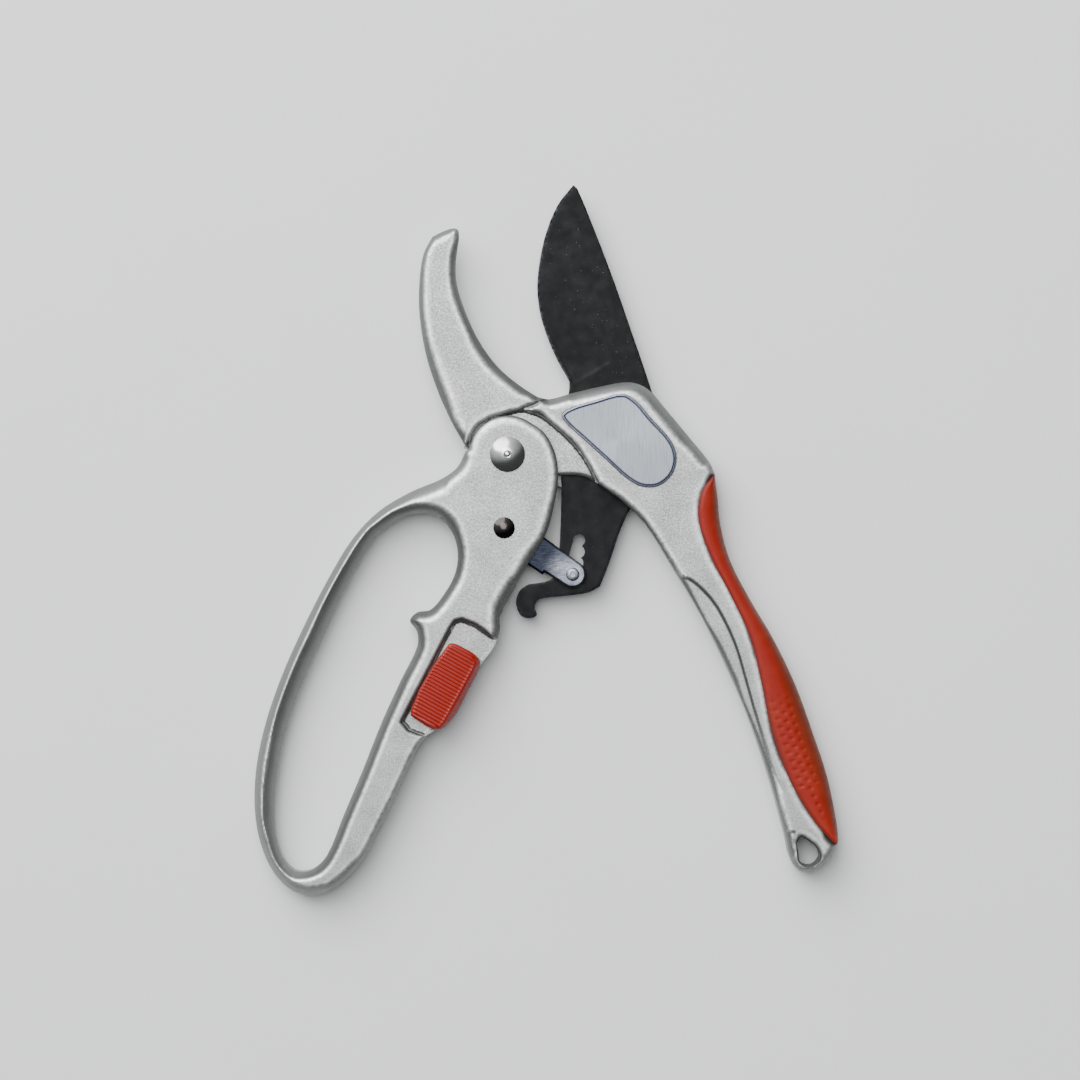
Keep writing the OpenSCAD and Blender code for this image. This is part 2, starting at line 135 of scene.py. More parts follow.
def section(node: str, level: float) -> list[Array]:
    """Cuts a CAD node at a height and returns the outlines found there.

    Each triangle that crosses the level gives one segment, from the edge where its border climbs through
    the level to the edge where it falls back, so neighbouring segments chain head to tail.

    Args:
        node: name of the CAD node.
        level: height of the cut, in millimetres.

    Returns:
        Closed outlines, largest first; outer ones run anticlockwise and holes clockwise.
    """
    mesh = merged_copy(node)
    mesh.calc_loop_triangles()
    points = gather(mesh.vertices, "co", 3) / MM
    corners_of = gather(mesh.loop_triangles, "vertices", 3, int)
    bpy.data.meshes.remove(mesh)
    above = points[:, 2] > level
    follow, place = {}, {}
    crossing = corners_of[(above[corners_of].sum(1) % 3) != 0]
    for triangle in crossing:
        ends = {}
        for a, b in zip(triangle, np.roll(triangle, -1)):
            if above[a] != above[b]:
                share = (level - points[a, 2]) / (points[b, 2] - points[a, 2])
                key = (min(a, b), max(a, b))
                place[key] = points[a, :2] + share * (points[b, :2] - points[a, :2])
                ends[bool(above[b])] = key
        follow[ends[True]] = ends[False]
    loops = []
    while follow:
        key, after = follow.popitem()
        chain = [place[key]]
        while after in follow:
            chain.append(place[after])
            after = follow.pop(after)
        loop = np.array(chain)
        step = np.linalg.norm(loop - np.roll(loop, 1, axis=0), axis=1)
        loops.append(loop[step > 1e-3])
    return sorted(loops, key=lambda loop: -abs(area(loop)))


def level_below(node: str, height: float) -> float:
    """Highest level at or under a height at which a CAD node has mesh points, in millimetres."""
    levels = places(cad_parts[node])[:, 2]
    return float(levels[levels <= height + 1e-3].max())


def area(loop: Array) -> float:
    """Signed area of a closed outline, positive when it runs anticlockwise."""
    ahead = np.roll(loop, -1, axis=0)
    return float(np.sum(loop[:, 0] * ahead[:, 1] - ahead[:, 0] * loop[:, 1]) / 2)


def resample(line: Array, step: float) -> Array:
    """Points every step or closer along a polyline, its own corners kept.

    Args:
        line: corners of the polyline, in millimetres.
        step: widest gap allowed between two points.

    Returns:
        The corners with evenly spread points between them.
    """
    span = np.linalg.norm(np.diff(line, axis=0), axis=1)
    reach = np.concatenate([[0], np.cumsum(span)])
    even = np.linspace(0, reach[-1], max(2, int(reach[-1] / step) + 1))
    at = np.union1d(np.round(reach, 6), np.round(even, 6))
    return np.stack([np.interp(at, reach, line[:, k]) for k in (0, 1)], axis=1)


# ---------------------------------------------------------------- distances and edge shapes


def tiles(at: Array, size: float = 6.0) -> list[Array]:
    """Row numbers of the points, grouped by the square tile they lie in."""
    _, which = np.unique(np.floor(at / size).astype(int), axis=0, return_inverse=True)
    order = np.argsort(which.ravel(), kind="stable")
    return np.split(order, np.flatnonzero(np.diff(which.ravel()[order])) + 1)


class Curve:
    """A polyline, closed or open, with a rounding width and depth given at stations along it.

    A station is (x, y, width, depth). At any corner of the line the two are the mean of the stations,
    each weighted by one over its distance to the fourth power.
    """

    def __init__(self, points: Array, stations: list[tuple] | None = None, closed: bool = True) -> None:
        """Stores the segments and the rounding at their ends."""
        ahead = np.roll(points, -1, axis=0)
        last = len(points) if closed else len(points) - 1
        self.start = points[:last]
        self.span = ahead[:last] - points[:last]
        self.size = np.maximum((self.span ** 2).sum(1), 1e-12)
        table = np.array(stations or [(0, 0, 1, 1)], float)
        away = ((points[:, None, :] - table[None, :, :2]) ** 2).sum(2) + 1e-6
        weight = away ** -2
        self.rounding = (weight @ table[:, 2:]) / weight.sum(1, keepdims=True)
        self.rounding_ahead = np.roll(self.rounding, -1, axis=0)[:last]
        self.rounding = self.rounding[:last]

    def near(self, at: Array) -> tuple[Array, Array, Array]:
        """Distance to the line and its rounding there.

        The foot of each point on every segment is clamped to the segment, and the nearest foot wins.

        Args:
            at: (n, 2) points in millimetres.

        Returns:
            Distance, rounding width and rounding depth of each point.
        """
        found = np.empty((3, len(at)))
        for rows in tiles(at):
            part = at[rows]
            low, high = part.min(0), part.max(0)
            rough, _ = self.feet((low + high)[None] / 2, slice(None))
            reach = math.sqrt(rough.min()) + np.linalg.norm(high - low) + 1e-6
            keep = np.flatnonzero(rough[0] <= reach ** 2)
            gap, share = self.feet(part, keep)
            best = gap.argmin(1)
            row = np.arange(len(part))
            along, best_segment = share[row, best][:, None], keep[best]
            shape = self.rounding[best_segment] * (1 - along) + self.rounding_ahead[best_segment] * along
            found[:, rows] = np.sqrt(gap[row, best]), shape[:, 0], shape[:, 1]
        return found[0], found[1], found[2]

    def feet(self, at: Array, keep: object) -> tuple[Array, Array]:
        """Squared distance from points to segments, and where along each segment the nearest point is."""
        off = at[:, None, :] - self.start[keep][None]
        span = self.span[keep]
        share = np.clip((off * span).sum(2) / self.size[keep], 0, 1)
        return ((off - share[..., None] * span) ** 2).sum(2), share

    def inside(self, at: Array) -> Array:
        """True where a point is inside the closed line, by counting crossings of a ray along +X."""
        answer = np.zeros(len(at), bool)
        bottom = np.minimum(self.start[:, 1], self.start[:, 1] + self.span[:, 1])
        top = bottom + np.abs(self.span[:, 1])
        for rows in tiles(at):
            x, y = at[rows, 0][:, None], at[rows, 1][:, None]
            keep = np.flatnonzero((bottom <= y.max()) & (top >= y.min()))
            start, span = self.start[keep], self.span[keep]
            spans = (start[:, 1] > y) != (start[:, 1] + span[:, 1] > y)
            rise = np.where(np.abs(span[:, 1]) < 1e-12, 1e-12, span[:, 1])
            meets = start[:, 0] + (y - start[:, 1]) / rise * span[:, 0]
            answer[rows] = (spans & (x < meets)).sum(1) % 2 == 1
        return answer

    def depth_in(self, at: Array) -> Array:
        """Signed distance to the closed line, positive inside."""
        gap, _, _ = self.near(at)
        return np.where(self.inside(at), gap, -gap)

    def fall(self, at: Array, sign: int = 1) -> Array:
        """How far a rounded edge falls below its face.

        With w = 1 - t and t the distance in from the line over the width, the fall is depth times
        (w + w squared) / 2. It goes on as a straight slope outside the line, and rises above the face past the
        width, where the face takes over.

        Args:
            at: (n, 2) points in millimetres.
            sign: 1 where the metal is inside the line, -1 where it is outside.

        Returns:
            Fall at each point, negative past the width.
        """
        gap, width, depth = self.near(at)
        t = np.where(self.inside(at), gap, -gap) * sign / width
        bend = np.where(t > 0, (1 - t) * (2 - t) / 2, 1 - 1.5 * np.maximum(t, -2))
        return depth * np.where(t > 1, (1 - t) / 2, bend)


def soft_max(first: Array, second: Array | float, ease: float) -> Array:
    """Larger of two heights, crossing rounded: (a + b + root of ((a - b) squared + ease squared)) / 2."""
    return (first + second + np.sqrt((first - second) ** 2 + ease ** 2)) / 2


def crest(*falls: Array) -> Array:
    """0.8 where the two largest of several falls cross, and 0 where they are a millimetre apart."""
    ranked = np.sort(np.stack(falls), axis=0)
    return 0.8 * np.exp(-((ranked[-1] - ranked[-2]) / 0.45) ** 2)


def smooth_step(value: Array, low: float, high: float) -> Array:
    """Cubic blend from 0 at low to 1 at high."""
    t = np.clip((value - low) / (high - low), 0, 1)
    return t * t * (3 - 2 * t)


def groove(at: Array, line: Curve, half_width: float, depth: float) -> Array:
    """Depth of a rounded groove along a line: depth times (1 - (gap / half width) squared) squared."""
    gap, _, _ = line.near(at)
    return depth * np.clip(1 - (gap / half_width) ** 2, 0, 1) ** 2


# ---------------------------------------------------------------- meshes


def mesh_from(name: str, points: Array, faces: Array) -> bpy.types.Mesh:
    """Builds a mesh from millimetre points and equal-sided faces.

    Args:
        name: name of the mesh.
        points: (n, 3) points in millimetres.
        faces: (m, k) corner indices.

    Returns:
        The new mesh, in metres.
    """
    mesh = bpy.data.meshes.new(name)
    count, sides = faces.shape
    mesh.vertices.add(len(points))
    mesh.vertices.foreach_set("co", (points * MM).astype(np.float32).ravel())
    mesh.loops.add(count * sides)
    mesh.loops.foreach_set("vertex_index", faces.astype(np.int32).ravel())
    mesh.polygons.add(count)
    mesh.polygons.foreach_set("loop_start", np.arange(count, dtype=np.int32) * sides)
    mesh.update(calc_edges=True)
    return mesh


def sheet_faces(rows: int, columns: int, wrap_rows: bool = False, wrap_columns: bool = False) -> Array:
    """Quads of a rows by columns grid of points, joined end to end where asked."""
    r = np.arange(rows if wrap_rows else rows - 1)[:, None]
    c = np.arange(columns if wrap_columns else columns - 1)[None, :]
    r_next, c_next = (r + 1) % rows, (c + 1) % columns
    quads = [r * columns + c, r_next * columns + c, r_next * columns + c_next, r * columns + c_next]
    return np.stack(np.broadcast_arrays(*quads), axis=-1).reshape(-1, 4)


def closed_mesh(name: str, points: Array, faces: Array) -> bpy.types.Mesh:
    """Builds a mesh, joins its seams and poles, and turns its faces outward."""
    mesh = mesh_from(name, points, faces)
    with edited(mesh) as work:
        bmesh.ops.remove_doubles(work, verts=work.verts, dist=2e-6)
        bmesh.ops.holes_fill(work, edges=work.edges)
        bmesh.ops.recalc_face_normals(work, faces=work.faces)
        turn_out(work)
    return mesh


def new_piece(name: str, mesh: bpy.types.Mesh, sharp_deg: float = 32) -> bpy.types.Object:
    """Adds a mesh to the scene with smooth faces and edges kept sharp past an angle."""
    mesh.name = name
    mesh.polygons.foreach_set("use_smooth", np.ones(len(mesh.polygons), bool))
    mesh.set_sharp_from_angle(angle=math.radians(sharp_deg))
    piece = bpy.data.objects.new(name, mesh)
    bpy.context.scene.collection.objects.link(piece)
    return piece


def places(piece: bpy.types.Object) -> Array:
    """The piece's mesh points, in millimetres."""
    return gather(piece.data.vertices, "co", 3) / MM


def mark(piece: bpy.types.Object, name: str, values: Array) -> None:
    """Stores one number per mesh point for a material to read."""
    layer = piece.data.attributes.new(name, "FLOAT", "POINT")
    layer.data.foreach_set("value", np.clip(values, 0, 1).astype(np.float32))


def slope(piece: bpy.types.Object) -> Array:
    """How far each mesh point's normal leans from the vertical: 0 on a flat face, 1 on a wall."""
    return 1 - np.abs(gather(piece.data.vertices, "normal", 3)[:, 2])


@dataclass
class Grid:
    """A flat grid of points that a height field is worked out on.

    Attributes:
        low: lowest corner in the grid's own axes, in millimetres.
        high: highest corner in the grid's own axes.
        pitch: spacing along the two axes.
        turn_deg: how far the grid's axes are turned about the origin.
    """

    low: tuple[float, float]
    high: tuple[float, float]
    pitch: tuple[float, float]
    turn_deg: float = 0

    def points(self) -> tuple[Array, int, int]:
        """Returns the grid's points in the CAD frame's axes, with its row and column counts."""
        u = np.arange(self.low[0], self.high[0] + self.pitch[0], self.pitch[0])
        v = np.arange(self.low[1], self.high[1] + self.pitch[1], self.pitch[1])
        across, up = np.meshgrid(u, v, indexing="ij")
        c, s = math.cos(math.radians(self.turn_deg)), math.sin(math.radians(self.turn_deg))
        turned = np.stack([across * c - up * s, across * s + up * c], axis=-1)
        return turned.reshape(-1, 2), len(u), len(v)

    @staticmethod
    def over(node: str, pitch: float, margin: float = 2) -> "Grid":
        """A grid that covers a CAD node and a margin round it."""
        low, high = corners(node)
        return Grid(tuple(low[:2] - margin), tuple(high[:2] + margin), (pitch, pitch))


def envelope(grid: Grid, top: Field, bottom: Field) -> bpy.types.Mesh:
    """Closed block between two height fields on a grid.

    Args:
        grid: where the fields are worked out.
        top: height of the upper side at each point.
        bottom: height of the lower side at each point.

    Returns:
        A closed mesh: upper sheet, lower sheet and four rims.
    """
    flat, rows, columns = grid.points()
    upper = np.column_stack([flat, top(flat)])
    lower = np.column_stack([flat, bottom(flat)])
    count = len(flat)
    sheet = sheet_faces(rows, columns)
    index = np.arange(count).reshape(rows, columns)
    rim = np.concatenate([index[:-1, 0], index[-1, :-1], index[:0:-1, -1], index[0, :0:-1]])
    ahead = np.roll(rim, -1)
    walls = np.column_stack([rim, rim + count, ahead + count, ahead])
    faces = np.concatenate([sheet, sheet[:, ::-1] + count, walls])
    mesh = mesh_from("envelope", np.concatenate([upper, lower]), faces)
    with edited(mesh) as work:
        turn_out(work)
    return mesh


def prism(outline: Array, low: float, high: float) -> bpy.types.Mesh:
    """Closed straight-sided block on an outline, from low to high."""
    count = len(outline)
    flat = [np.column_stack([outline, np.full(count, z)]) for z in (low, high)]
    ring = np.arange(count)
    ahead = np.roll(ring, -1)
    walls = np.column_stack([ring, ahead, ahead + count, ring + count])
    mesh = mesh_from("prism", np.concatenate(flat), walls)
    with edited(mesh) as work:
        work.verts.ensure_lookup_table()
        for ends in (range(count), range(count, 2 * count)):
            work.faces.new([work.verts[i] for i in ends])
        bmesh.ops.recalc_face_normals(work, faces=work.faces)
    return mesh


def common_part(name: str, first: bpy.types.Mesh, second: bpy.types.Mesh,
                sharp_deg: float) -> bpy.types.Object:
    """The solid that two closed meshes share, as a new piece."""
    pair = [bpy.data.objects.new(label, mesh) for label, mesh in (("first", first), ("second", second))]
    for thing in pair:
        bpy.context.scene.collection.objects.link(thing)
    cut = pair[0].modifiers.new("common", "BOOLEAN")
    cut.operation = "INTERSECT"
    cut.solver = "MANIFOLD"
    cut.object = pair[1]
    graph = bpy.context.evaluated_depsgraph_get()
    mesh = bpy.data.meshes.new_from_object(pair[0].evaluated_get(graph))
    for thing in pair:
        bpy.data.objects.remove(thing)
    if not mesh.polygons:
        raise RuntimeError(f"{name}: the two solids share nothing")
    piece = new_piece(name, mesh, sharp_deg)
    part_walls(piece.data)
    return piece


def part_walls(mesh: bpy.types.Mesh) -> None:
    """Marks the edges between upright walls and rounded bands sharp, so that a wall shades as one sheet.

    With n the upward part of a face's normal, an edge is marked when |n| is under 0.05 on one side and over
    0.12 on the other.

    Args:
        mesh: mesh of a finished piece.
    """
    lean = np.abs(gather(mesh.polygons, "normal", 3)[:, 2])
    lean = np.repeat(lean, gather(mesh.polygons, "loop_total", kind=int))
    edges = gather(mesh.loops, "edge_index", kind=int)
    least, most = np.ones(len(mesh.edges)), np.zeros(len(mesh.edges))
    np.minimum.at(least, edges, lean)
    np.maximum.at(most, edges, lean)
    sharp = gather(mesh.edges, "use_edge_sharp", kind=bool)
    mesh.edges.foreach_set("use_edge_sharp", sharp | ((least < 0.05) & (most > 0.12)))


def lathe(name: str, axis: Array, profile: list[tuple[float, float]], turns: int = 72,
          sharp_deg: float = 32) -> bpy.types.Object:
    """Turned piece: a profile of (radius, height) carried round a vertical axis.

    Args:
        name: name of the piece.
        axis: x and y of the axis, in millimetres.
        profile: closed outline of half the section.
        turns: points round the axis.
        sharp_deg: edges steeper than this stay sharp.

    Returns:
        The turned piece.
    """
    half = np.array(profile, float)
    angle = np.linspace(0, 2 * math.pi, turns, endpoint=False)
    x = axis[0] + half[:, :1] * np.cos(angle)
    y = axis[1] + half[:, :1] * np.sin(angle)
    z = np.broadcast_to(half[:, 1:], x.shape)
    faces = sheet_faces(len(half), turns, wrap_rows=True, wrap_columns=True)
    points = np.stack([x, y, z], axis=-1).reshape(-1, 3)
    return new_piece(name, closed_mesh(name, points, faces), sharp_deg)


def dome_profile(radius: float, low: float, rise: float, rim: float, steps: int = 14) -> list[tuple]:
    """Half section of a domed head: a short rolled rim, then a ball's cap down to the axis.

    The ball's radius is (radius squared + cap squared) / (2 cap), with cap the rise less the rim.

    Args:
        radius: radius of the head.
        low: height of its underside.
        rise: height of the whole head.
        rim: height of the straight rim.
        steps: points on the cap.

    Returns:
        Profile points from the axis under the head, round the rim, to the axis on top.
    """
    cap = rise - rim
    ball = (radius ** 2 + cap ** 2) / (2 * cap)
    t = np.linspace(math.asin(radius / ball), 0, steps)
    crown = [(ball * math.sin(a), low + rise - ball * (1 - math.cos(a))) for a in t]
    return [(0, low), (radius - 0.25, low), (radius, low + 0.3 * rim)] + crown[:-1] + [(0, low + rise)]


# ---------------------------------------------------------------- finishes


def linear(code: str, alpha: float = 1) -> tuple[float, float, float, float]:
    """Turns an sRGB hex colour into linear light."""
    parts = [int(code[i:i + 2], 16) / 255 for i in (1, 3, 5)]
    light = [c / 12.92 if c <= 0.04045 else ((c + 0.055) / 1.055) ** 2.4 for c in parts]
    return (*light, alpha)


def add(tree: bpy.types.NodeTree, kind: str, inputs: dict | None = None, **settings) -> bpy.types.Node:
    """Adds a node, sets its properties and fills its inputs.

    Args:
        tree: the material's node tree.
        kind: node type without the ShaderNode prefix.
        inputs: values or output sockets by input name or index.
        settings: the node's own properties.

    Returns:
        The node.
    """
    node = tree.nodes.new("ShaderNode" + kind)
    for key, value in settings.items():
        setattr(node, key, value)
    for key, value in (inputs or {}).items():
        if isinstance(value, Socket):
            tree.links.new(value, node.inputs[key])
        else:
            node.inputs[key].default_value = value
    return node


class Surface:
    """Helpers that every finish shares: one material with a principled shader and object coordinates."""

    def __init__(self, name: str, metallic: float, roughness: float, **constant: float) -> None:
        """Starts the material and sets the numbers that are the same all over it."""
        self.material = bpy.data.materials.new(name)
        self.material.use_nodes = True
        self.tree = self.material.node_tree
        self.tree.nodes.clear()
        self.shader = add(self.tree, "BsdfPrincipled", {"Metallic": metallic, "Roughness": roughness})
        for key, value in constant.items():
            self.shader.inputs[key].default_value = value
        out = add(self.tree, "OutputMaterial")
        self.tree.links.new(self.shader.outputs["BSDF"], out.inputs["Surface"])
        self.place = add(self.tree, "TexCoord").outputs["Object"]

    def noise(self, size_mm: float, detail: float = 2, place: Socket | None = None) -> Socket:
        """Cloudy noise from 0 to 1 with patches of about size_mm."""
        inputs = {"Vector": place or self.place, "Scale": 1 / (size_mm * MM), "Detail": detail}
        return add(self.tree, "TexNoise", inputs).outputs["Fac"]

    def ramp(self, value: Socket, low: float, high: float, start: float = 0,
             end: float = 1) -> Socket:
        """Maps low..high of a value to start..end, clamped."""
        inputs = {"Value": value, "From Min": low, "From Max": high, "To Min": start, "To Max": end}
        return add(self.tree, "MapRange", inputs).outputs["Result"]

    def read(self, name: str) -> Socket:
        """A number stored on the mesh."""
        return add(self.tree, "Attribute", attribute_name=name).outputs["Fac"]

    def mix(self, share: Socket | float, first: object, second: object) -> Socket:
        """Blend of two colours."""
        return add(self.tree, "Mix", {0: share, 6: first, 7: second}, data_type="RGBA").outputs[2]

    def sum(self, first: object, second: object, operation: str = "ADD") -> Socket:
        """Two numbers put together."""
        return add(self.tree, "Math", {0: first, 1: second}, operation=operation).outputs[0]

    def bump(self, height: Socket, depth_mm: float, strength: float = 1) -> None:
        """Relief of depth_mm that follows a height from 0 to 1."""
        inputs = {"Height": height, "Distance": depth_mm * MM, "Strength": strength}
        self.link("Normal", add(self.tree, "Bump", inputs).outputs["Normal"])

    def link(self, name: str, value: Socket) -> None:
        """Drives one of the shader's inputs."""
        self.tree.links.new(value, self.shader.inputs[name])


@dataclass(frozen=True)
class PowderCoatedCasting:
    """Silver metallic powder coat on a die casting.

    Painted shade darkens sloped edges, hollows and creases; a painted highlight runs where a face meets its
    rounding.
    """

    name: str = "powder_coated_die_casting"
    light: str = "#B9BAB9"
    dark: str = "#757776"
    # colour of the painted shade on sloped, rounded edges
    slope_shade: str = "#7A7D7B"
    # colour of the painted highlight where a face meets its rounding
    rim_highlight: str = "#F4F5F3"
    # colour of the painted shade in hollows, creases and seams
    crease_shade: str = "#343832"
    flake_mm: float = 0.42  # real flakes are near 0.1 mm, drawn coarser so that they show
    peel_mm: float = 0.8

    def build(self) -> bpy.types.Material:
        """Returns the material."""
        s = Surface(self.name, 0.8, 0.42)
        flake = s.ramp(s.noise(self.flake_mm, 2), 0.3, 0.7)
        cloud = s.ramp(s.noise(9, 2), 0.35, 0.65)
        tone = s.sum(s.sum(flake, 0.75, "MULTIPLY"), s.sum(cloud, 0.25, "MULTIPLY"))
        colour = s.mix(tone, linear(self.dark), linear(self.light))
        # painted shade: the more a face leans, the more it takes the shade colour
        colour = s.mix(s.ramp(s.read("slope"), 0.02, 0.32, 0, 0.85), colour, linear(self.slope_shade))
        # painted highlight where a face meets its rounding, broken up by noise
        patchiness = s.ramp(s.noise(1.3, 3), 0.3, 0.6, 0.35, 1)
        colour = s.mix(s.sum(s.read("rim"), patchiness, "MULTIPLY"), colour, linear(self.rim_highlight))
        # painted shade in hollows, creases and round the hole, broken up by noise
        painted_shade = s.sum(s.read("crease_shade"), s.ramp(s.noise(2.2, 3), 0.3, 0.7, 0.6, 1), "MULTIPLY")
        s.link("Base Color", s.mix(painted_shade, colour, linear(self.crease_shade)))
        s.link("Roughness", s.ramp(s.noise(self.flake_mm * 1.7, 2), 0.3, 0.7, 0.34, 0.5))
        s.bump(s.sum(s.noise(self.peel_mm, 3), s.sum(flake, 0.35, "MULTIPLY")), 0.035, 0.6)
        return s.material


@dataclass(frozen=True)
class BladeCoating:
    """Black non-stick coating sprayed on ground carbon steel: matte, finely pitted, dusted with specks."""

    name: str = "sprayed_blade_coating"
    base: str = "#08090B"
    lighter: str = "#111315"
    speck: str = "#62676A"
    steel: str = "#777C80"

    def build(self) -> bpy.types.Material:
        """Returns the material."""
        s = Surface(self.name, 0.0, 0.5, **{"IOR": 1.45, "Specular IOR Level": 0.25})
        colour = s.mix(s.ramp(s.noise(14, 5), 0.3, 0.75, 0, 0.45), linear(self.base), linear(self.lighter))
        dust = s.ramp(s.noise(0.55, 1), 0.745, 0.78)
        near_spine = s.ramp(s.read("spine"), 0, 1, 0.25, 0.9)
        colour = s.mix(s.sum(dust, near_spine, "MULTIPLY"), colour, linear(self.speck))
        rub = s.sum(s.read("edge"), s.ramp(s.noise(1.2, 4), 0.4, 0.7), "MULTIPLY")
        s.link("Base Color", s.mix(s.sum(rub, 0.6, "MULTIPLY"), colour, linear(self.steel)))
        s.link("Roughness", s.ramp(s.noise(3, 3), 0.3, 0.7, 0.5, 0.68))
        s.bump(s.noise(0.5, 3), 0.03, 0.5)
        return s.material


@dataclass(frozen=True)
class PolishedMetal:
    """Turned and buffed head: mirror bright, with hair-fine rings and a little haze."""

    name: str
    base: str
    shade: str
    roughness: float
    haze_mm: float = 4.0

    def build(self) -> bpy.types.Material:
        """Returns the material."""
        s = Surface(self.name, 1.0, self.roughness)
        s.link("Base Color", s.mix(s.ramp(s.noise(self.haze_mm, 3), 0.35, 0.7), linear(self.base),
                                   linear(self.shade)))
        s.link("Roughness", s.ramp(s.noise(self.haze_mm, 2), 0.3, 0.75, self.roughness * 0.8,
                                   self.roughness * 1.3))
        s.bump(s.noise(2.5, 2), 0.003, 0.3)
        return s.material


@dataclass(frozen=True)
class ZincPlate:
    """Bright zinc plate on stamped sheet or turned steel: bluish, cloudy, with rolling lines one way, and painted
    shade on a marked root.
    """

    name: str = "bright_zinc_plated_steel"
    light: str = "#8A8D94"
    blue: str = "#464B57"
    # colour of the painted shade towards the link's root
    root_shade: str = "#161A25"
    line_mm: float = 0.25

    def build(self) -> bpy.types.Material:
        """Returns the material."""
        s = Surface(self.name, 1.0, 0.3)
        turned = add(s.tree, "Mapping", {"Vector": s.place, "Rotation": (0, 0, math.radians(34)),
                                         "Scale": (0.12, 1, 1)}).outputs[0]
        lines = s.noise(self.line_mm, 3, turned)
        cloud = s.ramp(s.noise(4, 3), 0.35, 0.7)
        tone = s.sum(s.sum(cloud, 0.75, "MULTIPLY"), s.sum(lines, 0.3, "MULTIPLY"))
        colour = s.mix(tone, linear(self.light), linear(self.blue))
        # painted shade: darker where the mesh marks its root
        s.link("Base Color", s.mix(s.sum(s.read("root"), 0.95, "MULTIPLY"), colour, linear(self.root_shade)))
        s.link("Roughness", s.ramp(lines, 0.3, 0.7, 0.2, 0.42))
        s.bump(lines, 0.012, 0.5)
        return s.material


@dataclass(frozen=True)
class BrushedLabel:
    """Brushed aluminium label, clear coated, with a thin printed dark blue border."""

    name: str = "brushed_aluminium_label"
    light: str = "#999DA3"
    dark: str = "#63686F"
    ink: str = "#0A0F30"

    def build(self) -> bpy.types.Material:
        """Returns the material."""
        s = Surface(self.name, 0.8, 0.34, Anisotropic=0.5)
        turned = add(s.tree, "Mapping", {"Vector": s.place, "Rotation": (0, 0, math.radians(-60)),
                                         "Scale": (1, 0.03, 1)}).outputs[0]
        brush = s.noise(0.22, 4, turned)
        colour = s.mix(s.ramp(brush, 0.3, 0.7), linear(self.dark), linear(self.light))
        ink = s.sum(s.read("border"), s.ramp(s.noise(0.5, 2), 0.2, 0.4, 0.75, 1), "MULTIPLY")
        s.link("Base Color", s.mix(ink, colour, linear(self.ink)))
        s.link("Roughness", s.ramp(brush, 0.3, 0.7, 0.28, 0.42))
        s.bump(brush, 0.008, 0.5)
        return s.material


@dataclass(frozen=True)
class MouldedRubber:
    """Red thermoplastic rubber moulded over the handle: fine matte skin, with painted shade on its outer side and
    along its seam.
    """

    name: str = "overmoulded_red_rubber"
    front: str = "#901805"
    # colour of the painted shade on the outer side
    side: str = "#5A2603"
    patchiness: str = "#A8381C"
    # colour of the painted shade along the seam with the casting
    painted_shade: str = "#2A1410"

    def build(self) -> bpy.types.Material:
        """Returns the material."""
        s = Surface(self.name, 0.0, 0.6, **{"IOR": 1.5, "Specular IOR Level": 0.3})
        # painted shade: the outer side turns darker and browner
        colour = s.mix(s.sum(s.read("side"), 0.85, "MULTIPLY"), linear(self.front), linear(self.side))
        colour = s.mix(s.ramp(s.noise(5, 4), 0.45, 0.75, 0, 0.25), colour, linear(self.patchiness))
        # painted shade along the seam with the casting
        s.link("Base Color", s.mix(s.sum(s.read("crease_shade"), 0.6, "MULTIPLY"), colour, linear(self.painted_shade)))
        s.link("Roughness", s.ramp(s.noise(1.4, 3), 0.3, 0.7, 0.45, 0.65))
        s.bump(s.noise(0.4, 3), 0.035, 0.6)
        return s.material


@dataclass(frozen=True)
class MouldedPlastic:
    """Moulded plastic with a spark-eroded skin; a painted highlight lightens the crests that the mesh marks, and
    noise lightens it in patches.
    """

    name: str
    base: str
    # lighter colour: the painted highlight on crests, and random lighter patches
    highlight_and_tone: str
    roughness: float = 0.38

    def build(self) -> bpy.types.Material:
        """Returns the material."""
        s = Surface(self.name, 0.0, self.roughness, IOR=1.46)
        # painted highlight on the marked crests
        colour = s.mix(s.sum(s.read("edge"), 0.8, "MULTIPLY"), linear(self.base), linear(self.highlight_and_tone))
        s.link("Base Color", s.mix(s.ramp(s.noise(3, 3), 0.4, 0.8, 0, 0.3), colour, linear(self.highlight_and_tone)))
        s.link("Roughness", s.ramp(s.noise(0.9, 3), 0.3, 0.7, self.roughness - 0.08, self.roughness + 0.1))
        s.bump(s.noise(0.3, 2), 0.015, 0.5)
        return s.material


@dataclass(frozen=True)
class PlainMetal:
    """Drawn, stamped or sintered small metal part: tone and roughness wander over its grain."""

    name: str
    light: str
    dark: str
    roughness: float
    grain_mm: float = 0.4

    def build(self) -> bpy.types.Material:
        """Returns the material."""
        s = Surface(self.name, 0.95, self.roughness)
        s.link("Base Color", s.mix(s.ramp(s.noise(self.grain_mm * 3, 4), 0.3, 0.7), linear(self.light),
                                   linear(self.dark)))
        s.link("Roughness", s.ramp(s.noise(self.grain_mm, 3), 0.3, 0.7, self.roughness - 0.1,
                                   self.roughness + 0.12))
        s.bump(s.noise(self.grain_mm, 2), 0.01, 0.5)
        return s.material


